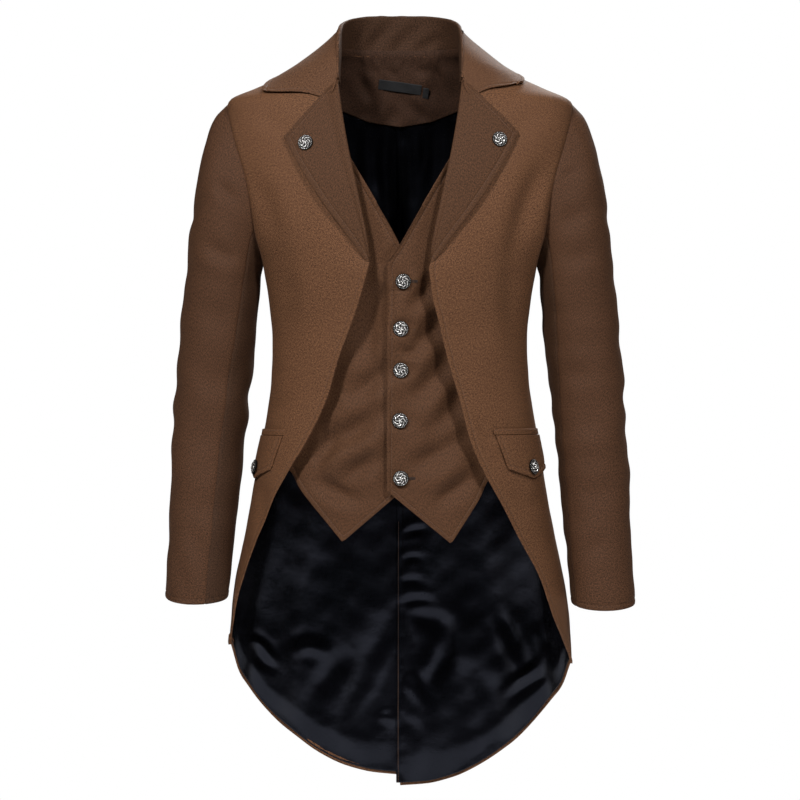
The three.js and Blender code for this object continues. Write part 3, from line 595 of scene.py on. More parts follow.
# Shaders
class Shader:
    """Short calls that add nodes to one material."""

    def __init__(self, name):
        self.material = bpy.data.materials.new(name)
        self.material.use_nodes = True
        self.tree = self.material.node_tree
        self.surface = self.tree.nodes["Principled BSDF"]

    def add(self, kind, **settings):
        node = self.tree.nodes.new(kind)
        for key, value in settings.items():
            setattr(node, key, value)
        return node

    def link(self, source, target):
        self.tree.links.new(source, target)

    def set(self, **values):
        for key, value in values.items():
            self.surface.inputs[key.replace("_", " ")].default_value = value

    def math(self, operation, first, second=None):
        node = self.add("ShaderNodeMath", operation=operation)
        for socket, value in zip(node.inputs, (first, second)):
            if isinstance(value, (int, float)):
                socket.default_value = value
            elif value is not None:
                self.link(value, socket)
        return node.outputs[0]

    def scaled(self, value, factor, offset):
        return self.math("ADD", self.math("MULTIPLY", value, factor), offset)

    def shared(self, first, second, share):
        """The first value has this share, and the second has the rest."""
        return self.scaled(first, share, self.math("MULTIPLY", second, 1 - share))

    def noise(self, vector, scale, detail=3.0, roughness=0.55):
        node = self.add("ShaderNodeTexNoise")
        node.inputs["Scale"].default_value = scale
        node.inputs["Detail"].default_value = detail
        node.inputs["Roughness"].default_value = roughness
        self.link(vector, node.inputs["Vector"])
        return node.outputs["Fac"]

    def ramp(self, factor, *stops):
        node = self.add("ShaderNodeValToRGB")
        while len(node.color_ramp.elements) < len(stops):
            node.color_ramp.elements.new(0.5)
        for element, (place, colour) in zip(node.color_ramp.elements, stops):
            element.position = place
            element.color = (*colour, 1)
        self.link(factor, node.inputs["Fac"])
        return node.outputs["Color"]

    def blend(self, factor, first, second, mode="MIX"):
        node = self.add("ShaderNodeMix", data_type="RGBA", blend_type=mode)
        for place, value in ((0, factor), (6, first), (7, second)):
            socket = node.inputs[place]
            if isinstance(value, (int, float)):
                socket.default_value = value
            elif isinstance(value, tuple):
                socket.default_value = (*value, 1)
            else:
                self.link(value, socket)
        return node.outputs[2]

    def bump(self, height, distance, strength=1.0, under=None):
        node = self.add("ShaderNodeBump")
        node.inputs["Strength"].default_value = strength
        node.inputs["Distance"].default_value = distance
        self.link(height, node.inputs["Height"])
        if under is not None:
            self.link(under, node.inputs["Normal"])
        return node.outputs["Normal"]

    def finish(self, colour, roughness, normal):
        self.link(colour, self.surface.inputs["Base Color"])
        self.link(roughness, self.surface.inputs["Roughness"])
        self.link(normal, self.surface.inputs["Normal"])
        return self.material

    def cloth_place(self):
        return self.add("ShaderNodeUVMap", uv_map="cloth").outputs["UV"]

    def solid_place(self):
        return self.add("ShaderNodeTexCoord").outputs["Object"]

    def ribs(self, vector, pitch, angle):
        """Waves of one pitch in metres across a direction of the flat cloth."""
        split = self.add("ShaderNodeSeparateXYZ")
        self.link(vector, split.inputs[0])
        turn = 2 * math.pi / pitch
        across = self.math("MULTIPLY", split.outputs[0], turn * math.cos(angle))
        down = self.math("MULTIPLY", split.outputs[1], turn * math.sin(angle))
        wave = self.math("SINE", self.math("ADD", across, down))
        return self.math("MULTIPLY_ADD", wave, 0.5)


def srgb(red, green, blue):
    """A colour as a screen shows it, made linear."""
    values = [c / 255 for c in (red, green, blue)]
    return tuple(c / 12.92 if c <= 0.04045 else ((c + 0.055) / 1.055) ** 2.4 for c in values)


TWILL_PITCH = 0.0009
TWILL_ANGLE = math.radians(58)
YARN_PITCH = TWILL_PITCH * 0.62
HEATHER = 0.4  # share of the fine flecks in the grain, against the longer slubs


def twill(name, light, dark):
    """Fine twill: diagonal wales, crossing yarns, heathered colour and soft fuzz."""
    shader = Shader(name)
    flat, solid = shader.cloth_place(), shader.solid_place()
    wale = shader.ribs(flat, TWILL_PITCH, TWILL_ANGLE)
    yarn = shader.ribs(flat, YARN_PITCH, TWILL_ANGLE + math.pi / 2)
    weave = shader.shared(wale, yarn, share=0.7)
    flecks = shader.noise(flat, scale=1040, detail=2, roughness=0.7)
    slubs = shader.noise(flat, scale=490, detail=2, roughness=0.7)
    tone = shader.noise(solid, scale=7, detail=3, roughness=0.5)
    grain = shader.shared(flecks, slubs, share=HEATHER)
    threads = shader.shared(weave, grain, share=0.25)
    colour = shader.ramp(threads, (0.43, srgb(*dark)), (0.55, srgb(*light)))
    shade = shader.ramp(tone, (0.3, (0.93, 0.93, 0.93)), (0.7, (1, 1, 1)))
    colour = shader.blend(1.0, colour, shade, "MULTIPLY")
    rough = shader.scaled(grain, factor=0.16, offset=0.66)
    small = shader.bump(threads, distance=0.0003, strength=0.3)
    normal = shader.bump(slubs, distance=0.0002, strength=0.2, under=small)
    shader.set(Sheen_Weight=0.03, Sheen_Roughness=0.4, Specular_IOR_Level=0.15)
    shader.surface.inputs["Sheen Tint"].default_value = (*srgb(190, 150, 120), 1)
    return shader.finish(colour, rough, normal)


def satin(name, light, dark):
    """Black satin: a bright float weave with fine cross wrinkles."""
    shader = Shader(name)
    flat, solid = shader.cloth_place(), shader.solid_place()
    floats = shader.ribs(flat, 0.0005, 0)
    sheen = shader.noise(solid, scale=14, detail=3, roughness=0.5)
    cloud = shader.noise(flat, scale=420, detail=3, roughness=0.6)
    colour = shader.ramp(sheen, (0.3, srgb(*dark)), (0.72, srgb(*light)))
    rough = shader.scaled(cloud, factor=0.08, offset=0.22)
    wrinkles = shader.noise(solid, scale=40, detail=3, roughness=0.5)
    crinkle = shader.bump(wrinkles, distance=0.0012, strength=0.5)
    normal = shader.bump(floats, distance=0.00005, strength=0.5, under=crinkle)
    shader.set(Specular_IOR_Level=0.36)
    shader.surface.inputs["Specular Tint"].default_value = (*srgb(205, 212, 240), 1)
    return shader.finish(colour, rough, normal)


def ribbon():
    """Bare woven ribbon with fine cross ribs."""
    shader = Shader("woven_ribbon")
    flat = shader.cloth_place()
    rib = shader.ribs(flat, 0.0007, math.pi / 2)
    flecks = shader.noise(flat, scale=1100, detail=2, roughness=0.5)
    both = shader.shared(rib, flecks, share=0.6)
    colour = shader.ramp(both, (0.25, srgb(6, 6, 8)), (0.8, srgb(20, 19, 21)))
    rough = shader.scaled(flecks, factor=0.2, offset=0.5)
    return shader.finish(colour, rough, shader.bump(both, distance=0.0002, strength=0.7))


def thread(name, light, dark):
    """Twisted sewing thread."""
    shader = Shader(name)
    place = shader.solid_place()
    ply = shader.noise(place, scale=2600, detail=2, roughness=0.5)
    colour = shader.ramp(ply, (0.3, srgb(*dark)), (0.7, srgb(*light)))
    rough = shader.scaled(ply, factor=0.2, offset=0.5)
    return shader.finish(colour, rough, shader.bump(ply, distance=0.0001, strength=0.6))


def antique_silver():
    """Worn silver, bright where the relief stands high and dark in its hollows, and painted darker at the rim
    as shade.
    """
    shader = Shader("antique_silver")
    place = shader.solid_place()
    # The height attribute holds each point's brightness level, with painted shade at the rim
    height = shader.add("ShaderNodeAttribute", attribute_name="height").outputs["Fac"]
    tarnish = shader.noise(place, scale=800, detail=4, roughness=0.6)
    level = shader.math("ADD", height, shader.math("MULTIPLY", shader.math("SUBTRACT", tarnish, 0.5), 1.2))
    hollow, face, crest = srgb(10, 9, 8), srgb(96, 92, 89), srgb(252, 250, 247)
    colour = shader.ramp(level, (0.2, hollow), (0.48, face), (0.72, crest))
    rough = shader.math("SUBTRACT", 0.48, shader.math("MULTIPLY", level, 0.26))
    shader.set(Metallic=0.8)
    return shader.finish(colour, rough, shader.bump(tarnish, distance=0.00012, strength=0.5))


# One brown cloth in slightly different depths: the darker copies for the collar, stand, lapels, waistcoat,
# sleeves and facing are painted shade, the soft shade that falls on each piece
COAT_CLOTH = twill("brown_twill", (129, 89, 61), (37, 22, 14))
COLLAR_SHADED_CLOTH = twill("brown_twill_collar_painted_shade", (118, 82, 58), (33, 20, 13))
LAPEL_SHADED_CLOTH = twill("brown_twill_lapel_painted_shade", (103, 70, 47), (29, 17, 11))
WAISTCOAT_SHADED_CLOTH = twill("brown_twill_waistcoat_painted_shade", (109, 74, 50), (29, 17, 11))
SLEEVE_SHADED_CLOTH = twill("brown_twill_sleeve_painted_shade", (101, 68, 46), (27, 16, 11))
UNDER_SLEEVE_SHADED_CLOTH = twill("brown_twill_under_sleeve_painted_shade", (83, 56, 38), (22, 14, 9))
STAND_SHADED_CLOTH = twill("brown_twill_stand_painted_shade", (90, 62, 44), (25, 16, 10))
FACING_SHADED_CLOTH = twill("brown_twill_facing_painted_shade", (80, 54, 39), (22, 14, 9))
LINING = satin("black_satin", (5, 5, 7), (2, 2, 3))
RIBBON_CLOTH = ribbon()
THREAD = thread("brown_thread", (118, 84, 62), (74, 50, 37))
# Buttonhole thread, painted dark to stand also for the shade in the buttonholes' slits
BUTTONHOLE_THREAD_AND_SHADE = thread("buttonhole_thread_and_painted_shade", (44, 30, 23), (20, 14, 11))
SILVER = antique_silver()

# Creases of the worn coat, as seen square on from the named side. Long ones fall from what carries them.
SLEEVE_CREASES = creases([
    ((-206, -184), (-219, -171), (-231, -157), 3.0, 8),
    ((-203, -252), (-224, -248), (-250, -232), 4.5, 11),
    ((-214, -330), (-236, -322), (-268, -300), 2.1, 15),
    ((-208, -430), (-232, -412), (-262, -408), 2.5, 17),
    ((-218, -492), (-246, -478), (-276, -490), 2.3, 18),
    ((-222, -560), (-248, -566), (-278, -548), 1.8, 16),
    ((-236, -640), (-252, -618), (-268, -590), 2.3, 12),
    ((-262, -690), (-274, -660), (-280, -630), 1.6, 10),
    ((205, -108), (215, -104), (224, -110), 2.5, 6),
    ((202, -153), (212, -147), (224, -150), 2.7, 7),
    ((200, -205), (222, -200), (246, -184), 2.9, 12),
    ((206, -262), (226, -252), (250, -250), 2.3, 13),
    ((204, -392), (226, -404), (258, -398), 2.7, 17),
    ((214, -470), (244, -458), (276, -470), 2.5, 18),
    ((228, -540), (250, -552), (282, -536), 1.8, 16),
    ((232, -640), (246, -618), (262, -612), 2.1, 11),
])
SLEEVE_CREASES += creases([
    ((46, -170), (20, -196), (-26, -204), 1.7, 12),
    ((50, -250), (12, -268), (-34, -262), 1.5, 14),
    ((40, -400), (6, -420), (-40, -412), 1.8, 16),
    ((44, -470), (8, -462), (-30, -480), 1.5, 16),
    ((38, -600), (10, -620), (-22, -606), 1.1, 14),
], "left")
SLEEVE_CREASES += creases([
    ((-46, -176), (-16, -200), (26, -196), 1.7, 12),
    ((-48, -262), (-8, -276), (34, -262), 1.4, 14),
    ((-40, -408), (0, -428), (40, -410), 1.9, 16),
    ((-40, -486), (0, -474), (30, -490), 1.4, 15),
], "right")
SLEEVE_CREASES += creases([
    ((178, -230), (206, -252), (242, -250), 2.2, 12),
    ((192, -330), (226, -352), (268, -344), 1.5, 15),
    ((204, -428), (240, -440), (280, -430), 1.7, 16),
    ((-180, -236), (-208, -254), (-246, -244), 2.0, 12),
    ((-196, -340), (-232, -352), (-270, -338), 1.5, 15),
    ((-206, -436), (-240, -432), (-282, -444), 1.6, 16),
], "back")
FRONT_CREASES = creases([
    ((186, -132), (160, -190), (141, -268), 7.1, 15, 0.5),
    ((143, -262), (140, -318), (150, -380), 3.4, 13),
    ((-186, -150), (-166, -196), (-158, -250), 3.4, 14),
    ((-150, -260), (-143, -300), (-147, -352), 2.8, 14),
    ((-136, -96), (-156, -84), (-186, -72), 2.0, 12),
    ((140, -92), (162, -80), (190, -74), 2.0, 12),
    ((98, -466), (112, -478), (122, -470), 2.8, 6),
    ((92, -452), (104, -462), (118, -463), 2.0, 6),
    ((140, -540), (156, -562), (178, -566), 3.0, 11),
    ((128, -556), (150, -600), (176, -630), 2.5, 13),
    ((-178, -540), (-170, -566), (-176, -606), 2.2, 11),
    ((-128, -420), (-150, -440), (-168, -444), 2.0, 12),
    ((-60, -300), (-90, -330), (-130, -340), 1.8, 22),
    ((60, -330), (90, -345), (130, -330), 1.8, 22),
])
BACK_CREASES = creases([
    ((-150, -120), (-120, -150), (-70, -160), 1.6, 16),
    ((150, -118), (124, -150), (76, -166), 1.7, 16),
    ((-172, -250), (-140, -300), (-60, -330), 2.2, 18),
    ((170, -256), (136, -300), (64, -322), 2.1, 18),
    ((-150, -352), (-90, -366), (-20, -352), 2.0, 13),
    ((148, -342), (80, -360), (22, -350), 2.0, 13),
    ((-140, -396), (-80, -392), (-24, -408), 1.5, 14),
    ((142, -404), (90, -398), (30, -410), 1.5, 14),
    ((-110, -440), (-126, -560), (-120, -700), 2.4, 20),
    ((104, -450), (118, -560), (130, -720), 2.4, 20),
    ((-52, -500), (-60, -640), (-54, -800), 2.0, 18),
    ((50, -490), (62, -650), (60, -820), 2.0, 18),
], "back")
WAISTCOAT_CREASES = creases([
    ((10, -322), (30, -300), (44, -270), 7.1, 11),
    ((6, -378), (36, -352), (62, -316), 10.6, 15),
    ((14, -434), (44, -404), (72, -352), 11.6, 16),
    ((30, -486), (60, -450), (88, -404), 9.7, 15),
    ((12, -518), (46, -500), (92, -470), 9.1, 13),
    ((44, -566), (68, -544), (98, -528), 8.5, 11),
    ((2, -368), (12, -374), (24, -370), 4.8, 6),
    ((-18, -286), (-34, -330), (-46, -400), 14.4, 16),
    ((-14, -380), (-38, -412), (-74, -436), 11.0, 14),
    ((-24, -430), (-58, -470), (-106, -486), 13.3, 16),
    ((-24, -506), (-50, -516), (-72, -540), 9.1, 12),
    ((-48, -556), (-76, -550), (-106, -528), 8.5, 11),
    ((-84, -470), (-96, -500), (-112, -512), 8.2, 10),
])


# One pair of waves runs over the fronts and the backs, so that they meet at their seams
COAT_WAVE = 0.9
COAT_WAVES = (wave(seed=3, size=130, height=COAT_WAVE), wave(seed=53, size=46, height=COAT_WAVE * 0.28))


# Coat fronts
LAPEL_ROLL = 2.4  # radius of the lapel's fold
FRONT_SPRING = 6.0  # the cut-away edge stands this far off the waistcoat
FRONT_SPRING_WIDTH = 26
ROLL_INSET = 2.2  # the front's edge stays this far inside the fold


def coat_edge_x(label, z):
    return np.where(z > BREAK_Z, ROLL_LINE.x(z), FRONT_EDGE.read(label, z))


def front_outer_angle(z):
    below = mix(SIDE_SEAM, 90, ease(z, SIDE_SEAM_SETTLED, ARMHOLE_BOTTOM))
    beside = 90 - armhole_swing(z, ARMHOLE_FRONT_SWING)
    return np.where(z >= ARMHOLE_TOP, 90, np.where(z >= ARMHOLE_BOTTOM, beside, below))


def coat_front(side, label):
    rows = BODY_ROWS + list(np.linspace(SKIRT_TOP, FRONT_END[label], 6)[1:])

    def point_at(u, v):
        z = row_at(rows, v)
        inside_roll = ROLL_INSET * ease(z, BREAK_Z - 6, BREAK_Z + 12)
        inner = front_angle(coat_edge_x(label, z) + inside_roll, z)
        return body_point(side, mix(inner, front_outer_angle(z), u), z)

    def sprung(place):
        """The cut-away edge springs off the waistcoat."""
        beyond = np.abs(place[..., 0]) - coat_edge_x(label, place[..., 2])
        below = 1 - ease(place[..., 2], BREAK_Z - 10, BREAK_Z + 20)
        near = np.exp(-np.maximum(beyond, 0) / FRONT_SPRING_WIDTH)
        return FRONT_SPRING * below * near * ease(place[..., 2], -720, -640)

    edges = {"left": "turned", "right": "seam", "top": "seam", "foot": "seam"}
    return Panel(f"front_cloth_{label}", point_at, 40, 170, edges, COAT_CLOTH,
                 relief=FRONT_CREASES, waves=COAT_WAVES + (sprung,), seed=2 + side,
                 node=f"coat_front_{label}", hold=armhole_hold(side))


# Coat backs
BACK_FLOOR = 2.2  # the most that folds sink toward the lining


def back_outer_angle(z):
    beside = 90 + armhole_swing(z, ARMHOLE_BACK_SWING)
    return np.where(z >= ARMHOLE_TOP, 90, np.where(z >= ARMHOLE_BOTTOM, beside, front_outer_angle(z)))


def hem_height(label, theta):
    return HEM.read(label, body_point(RIGHT, theta, HEM_LEVEL + 0 * theta)[..., 0])


def tail_height(rows, label, theta, v):
    listed = len(rows) - 1
    place = np.clip(v, 0, 1) * (listed + TAIL_ROWS)
    below = mix(SKIRT_TOP, hem_height(label, theta), (place - listed) / TAIL_ROWS)
    return np.where(place <= listed, row_at(rows, place / listed), below)


def vent_shift(theta, z):
    return LINING_SPREAD / 2 * ease(theta, VENT_ANGLE, 180) * (1 - ease(z, VENT_FOOT, VENT_TOP))


def shifted(side, point, theta, z):
    point[..., 0] += side * vent_shift(theta, z)
    return point


def coat_back(side, label):
    def point_at(u, v):
        level = tail_height(BODY_ROWS, label, 180 + 0 * v, v)
        theta = mix(180, back_outer_angle(np.maximum(level, SKIRT_TOP)), u)
        z = tail_height(BODY_ROWS, label, theta, v)
        opened = 1 - ease(z, *VENT_OPENING)
        lapped = (side < 0) * opened * (1 - ease(u, 0, VENT_LAP_SHARE))
        z = tail_height(BODY_ROWS, label, theta + VENT_LAP * lapped, v)
        return on_body(side, theta + VENT_LAP * lapped, z, (CLOTH + REST_GAP) * lapped)

    edges = {"left": "seam", "right": "seam", "top": "seam", "foot": "hem"}
    return Panel(f"back_cloth_{label}", point_at, 44, 210, edges, COAT_CLOTH,
                 relief=BACK_CREASES, waves=COAT_WAVES, seed=5 + side, node=f"coat_back_{label}",
                 hold=armhole_hold(side), floor=BACK_FLOOR)


# Neck facing and lining
FACING_EDGE = Table(("x", "z"), [
    (0, -76), (40, -69), (72, -56), (95, -47), (140, -66), (205, -112),
])
FACING_NECK_WIDTH = 84
FACING_EDGE_WIDTH = 97
FACING_MARGIN = 1.5
FACING_TUCK = 6  # how far it runs up inside the collar's stand
FACING_REST = 1.5  # off the coat's back at the collar seam
LABEL_CALM = {"x": 3, "z": -24, "width": 38, "height": 15, "share": 0.85}
# Where each pucker starts along the collar seam, and how far it drifts
PUCKERS = ((-48, 2), (-37, 5), (-24, -2), (-9, 3), (3, -3), (14, 4), (27, 7), (38, 2), (49, 5))
PUCKER_HEIGHT = 1.7
PUCKER_WIDTH = 3.5
LINING_TOP = -60
LINING_LEVEL = -190
LINING_ROWS = [LINING_TOP, -85, -110, -140, -165, LINING_LEVEL]
LINING_HEM = 4
LINING_SIDE = 100
LINING_EASE = 5.0  # the satin hangs this far off its own solid
LINING_FLOOR = 3.2
LINING_LAP_LIFT = 0.5


def inside_back(side, theta, z, lift):
    return shifted(side, on_body(side, theta, z, -lift), theta, z)


def label_calm(place):
    """The facing lies smooth under its labels."""
    across = (place[..., 0] - LABEL_CALM["x"]) / LABEL_CALM["width"]
    down = (place[..., 2] - LABEL_CALM["z"]) / LABEL_CALM["height"]
    return 1 - LABEL_CALM["share"] * np.exp(-across ** 4 - down ** 4)


def pucker(at, drift):
    """A small ridge that runs down from the collar seam."""
    foot = (0.88 * at + drift, 0)
    return Crease((at, 16), (0.96 * at, 9), foot, -PUCKER_HEIGHT, PUCKER_WIDTH)


def neck_facing():
    def point_at(u, v):
        side = np.where(u < 0.5, LEFT, RIGHT)
        x = np.abs(u - 0.5) * 2 * mix(FACING_NECK_WIDTH, FACING_EDGE_WIDTH, v)
        z = mix(NECK_TOP + FACING_TUCK, FACING_EDGE.z(x) + FACING_MARGIN, v)
        lift = CLOTH + FACING_REST + (LINING_GAP + LINING_EASE) * ease(v, 0.05, 0.45)
        lift = lift + (SATIN + REST_GAP) * ease(v, 0.5, 0.9)
        return inside_back(side, 180 - front_angle(x, z), z, lift)

    folds = [pucker(at, drift) for at, drift in PUCKERS]
    folds += creases([
        ((-52, -6), (-48, -22), (-34, -44), 4.2, 7),
        ((-36, 0), (-32, -16), (-40, -34), 3.5, 6),
        ((-20, 2), (-12, -8), (-2, -12), 2.6, 5),
        ((22, 0), (36, -18), (40, -44), 4.8, 7),
        ((44, -2), (50, -20), (58, -40), 4.2, 7),
        ((34, 2), (46, -8), (56, -22), 3.2, 6),
        ((-30, -44), (-40, -58), (-52, -62), 3.5, 7),
        ((6, -46), (24, -58), (30, -70), 3.8, 8),
        ((-14, -48), (-10, -62), (-16, -72), 2.9, 7),
    ])
    return Panel("facing_cloth", point_at, 60, 26, PLAIN_EDGES, FACING_SHADED_CLOTH, SATIN, toward_axis,
                 relief=folds, waves=(wave(seed=31, size=52, height=0.7),), seed=9, hold=label_calm,
                 slot="facing_cloth", node="neck_facing", rests_on=("collar",))


def lining_height(level, theta):
    x = body_point(RIGHT, theta, LINING_TOP + 0 * theta)[..., 0]
    follow = np.clip((level - LINING_LEVEL) / (LINING_TOP - LINING_LEVEL), 0, 1)
    return level + (FACING_EDGE.z(x) - LINING_TOP) * follow


LINING_CREASES = creases([
    ((-6, -80), (-10, -130), (-5, -190), 2.2, 6),
    ((8, -80), (14, -140), (8, -220), 2.4, 7),
    ((26, -78), (30, -110), (22, -150), 1.6, 5),
    ((-30, -78), (-34, -120), (-26, -170), 1.6, 6),
    ((-52, -70), (-60, -130), (-48, -200), 1.8, 9),
    ((50, -72), (44, -120), (52, -190), 1.8, 8),
    ((4, -612), (20, -604), (34, -606), 2.0, 5),
    ((2, -648), (16, -640), (28, -644), 1.6, 5),
    ((2, -676), (14, -670), (26, -674), 1.4, 5),
    ((4, -702), (24, -696), (48, -702), 2.0, 6),
    ((10, -716), (60, -740), (40, -820), 3.2, 12),
    ((52, -712), (46, -760), (30, -800), -2.6, 8),
    ((2, -724), (14, -760), (10, -800), 2.4, 8),
    ((4, -796), (22, -820), (30, -846), -3.2, 8),
    ((6, -856), (18, -868), (14, -890), 2.0, 8),
    ((-4, -790), (-26, -830), (-56, -880), 3.4, 12),
    ((-10, -716), (-40, -770), (-70, -860), 3.0, 13),
    ((-60, -760), (-98, -800), (-112, -850), 3.4, 14),
    ((-142, -770), (-120, -756), (-92, -770), -2.6, 9),
    ((-186, -760), (-176, -776), (-160, -786), 2.4, 6),
    ((-196, -744), (-180, -752), (-168, -770), -2.0, 5),
    ((-8, -864), (-18, -850), (-36, -850), -2.4, 8),
    ((100, -790), (120, -830), (112, -880), 3.0, 12),
    ((124, -714), (140, -760), (156, -790), -2.6, 6),
    ((132, -712), (150, -744), (164, -776), 2.6, 7),
    ((150, -800), (168, -790), (180, -776), -2.4, 6),
    ((140, -830), (166, -806), (196, -790), 2.4, 7),
    ((186, -740), (196, -760), (200, -786), 2.2, 6),
    ((174, -730), (186, -752), (190, -774), -2.0, 5),
    ((70, -770), (84, -820), (80, -900), 2.6, 14),
])


def lining_relief(place):
    gathers = undulation(place * (1, 1, 0.16), seed=61, size=20, height=0.5) * ease(place[..., 2], -330, -90)
    tail = 1 - ease(place[..., 2], -700, -480)
    fine = undulation(place, seed=64, size=34, height=0.25)
    return 1.6 * gathers + fine + undulation(place, seed=67, size=130, height=1.4) * tail


def lining(side, label):
    rows = LINING_ROWS + [z for z in ARMHOLE_ROWS if z < LINING_LEVEL] + WAIST_ROWS

    def point_at(u, v):
        level = tail_height(rows, label, 180 + 0 * v, v)
        outer = back_outer_angle(lining_height(np.maximum(level, SKIRT_TOP), LINING_SIDE + 0 * level))
        theta = mix(180, outer, u)
        lapped = (side > 0) * (1 - ease(u, 0.02, 0.12))
        theta = theta + LINING_LAP * lapped
        z = lining_height(tail_height(rows, label, theta, v), theta)
        raised = LINING_HEM * (SKIRT_TOP - z) / (SKIRT_TOP - hem_height(label, theta))
        loose = LINING_EASE * ease(u, 0, 0.08) * ease(1 - u, 0, 0.15) * ease(1 - v, 0, 0.04)
        lift = CLOTH + LINING_GAP + loose + (SATIN + REST_GAP + LINING_LAP_LIFT) * lapped
        return inside_back(side, theta, z + np.where(z < SKIRT_TOP, raised, 0), lift)

    edges = PLAIN_EDGES | {"left": "turned" if side > 0 else "seam"}
    return Panel(f"lining_satin_{label}", point_at, 56, 220, edges, LINING, SATIN, toward_axis,
                 relief=LINING_CREASES, waves=(lining_relief,), seed=11, slot="lining_satin",
                 node=f"lining_{label}", floor=LINING_FLOOR, rests_on=(f"coat_back_{label}",))


# Sleeves
SLEEVE = Table(("down", "outer_x", "outer_z", "inner_x", "inner_z", "middle", "depth"), [
    (0, 220, -54, 175, -262, 2, 60),
    (30, 235, -70, 176, -267, 2, 62),
    (70, 247.5, -102, 177.5, -276, 1, 63),
    (130, 259.5, -155, 179, -290, 0, 64),
    (200, 268.5, -222, 181, -312, 0, 63),
    (280, 276, -290, 184, -344, 2, 61),
    (360, 282, -362, 188.5, -388, 3, 59),
    (440, 288, -440, 195, -450, 2, 56),
    (520, 292, -520, 202.5, -524, -4, 53),
    (600, 295, -600, 210, -602, -13, 50),
    (690, 298.5, -689, 218, -689, -26, 46),
])
SLEEVE_LENGTH = 690
SLEEVE_HEAD = 110
SLEEVE_ROUND = 2.15
SLEEVE_SHIFT = {"left": 7, "right": -1}
SLEEVE_FLANGE = 3  # seam allowance tucked inside the armhole
CUFF_TILT = 9
CUFF_TILT_START = 0.6
ELBOW_Z = -440
ELBOW_WIDTH = 120
# The sleeve pieces take painted-shade copies of the cloth, and the under sleeve takes a darker one still
SLEEVE_CLOTHS = {"top": SLEEVE_SHADED_CLOTH, "under": UNDER_SLEEVE_SHADED_CLOTH}
SLEEVE_SEAMS = {
    "left": {"fore": (127, 108), "hind": (244, 236)},
    "right": {"fore": (130, 150), "hind": (244, 250)},
}


def sleeve_ring(side, label, phi, down):
    sine, cosine = np.sin(np.radians(phi)), np.cos(np.radians(phi))
    reach = (np.abs(sine) ** SLEEVE_ROUND + np.abs(cosine) ** SLEEVE_ROUND) ** (-1 / SLEEVE_ROUND)
    across = 0.5 + 0.5 * reach * cosine
    along = down / SLEEVE_LENGTH
    x = mix(SLEEVE.inner_x(down), SLEEVE.outer_x(down), across)
    y = SLEEVE.middle(down) - SLEEVE.depth(down) * reach * sine
    z = mix(SLEEVE.inner_z(down), SLEEVE.outer_z(down), across)
    tilt = CUFF_TILT * sine * ease(along, CUFF_TILT_START, 1)
    return points(side * x, y, z + SLEEVE_SHIFT[label] * along - tilt)


def sleeve_point(side, label, phi, down):
    point = sleeve_ring(side, label, phi, down)
    hold = 1 - ease(down, 0, SLEEVE_HEAD)
    return point + (armhole_point(side, phi) - sleeve_ring(side, label, phi, 0 * down)) * hold[..., None]


def sleeve_seam(label, seam, down):
    top, cuff = SLEEVE_SEAMS[label][seam]
    return mix(top, cuff, ease(down, SLEEVE_HEAD, SLEEVE_LENGTH))


def sleeve_waves(side):
    def folds(place):
        elbow = np.exp(-((place[..., 2] - ELBOW_Z) / ELBOW_WIDTH) ** 2)
        return undulation(place * (1, 1, 1.8), seed=17 + side, size=95, height=1.0) * (0.5 + elbow)

    return (folds, wave(seed=23 + side, size=40, height=0.3))


def sleeve_panel(side, label, part, columns, first, last):
    def point_at(u, v):
        share = SLEEVE_FLANGE / (SLEEVE_LENGTH + SLEEVE_FLANGE)
        down = np.maximum(0, (v - share) / (1 - share)) * SLEEVE_LENGTH
        phi = mix(first(down), last(down), u)
        inward = armhole_point(side, phi) * (-1, -1, 0)
        tucked = unit(inward) * (SLEEVE_FLANGE * np.clip(1 - v / share, 0, 1))[..., None]
        return sleeve_point(side, label, phi, down) + tucked

    def outward(grid):
        down = np.linspace(0, SLEEVE_LENGTH, grid.shape[0])[:, None] + 0 * grid[..., 0]
        outer, inner = (sleeve_point(side, label, phi + 0 * down, down) for phi in (0, 180))
        return grid - (outer + inner) / 2

    edges = {"left": "seam", "right": "seam", "top": "seam", "foot": "hem"}
    return Panel(f"{part}_sleeve_{label}", point_at, columns, 170, edges, SLEEVE_CLOTHS[part],
                 outward=outward, relief=SLEEVE_CREASES, waves=sleeve_waves(side), seed=13 + side,
                 node=f"sleeve_{part}_{label}", hold=armhole_hold(side),
                 rests_on=(f"coat_front_{label}", f"coat_back_{label}"))


def sleeves(side, label):
    def fore(down):
        return sleeve_seam(label, "fore", down)

    def hind(down):
        return sleeve_seam(label, "hind", down)

    def hind_behind(down):
        return hind(down) - 360

    sleeve_panel(side, label, "top", 74, hind_behind, fore)
    sleeve_panel(side, label, "under", 36, fore, hind)


# Lapels, rolled over the fronts' edges
LAPEL_TOP_Z = -28
LAPEL_END_Z = -262
LAPEL_TIP = {"left": (147, -103), "right": (149, -98)}
LAPEL_EDGE = Table(("z", "out"), [
    (-98, 1), (-135, 0.85), (-187, 0.58), (-238, 0.24), (-266, 0.05),
])
LAPEL_LIFT = 4
LAPEL_FOOT = 3
LAPEL_SPRING = 3.5  # how far its edge springs off the front
LAPEL_RETURN = 8  # cloth that runs back inside the front
LAPEL_CLOTH = 1.6  # thickness
LAPEL_GRAIN = 14  # degrees
ROLL_SHARE = 0.16


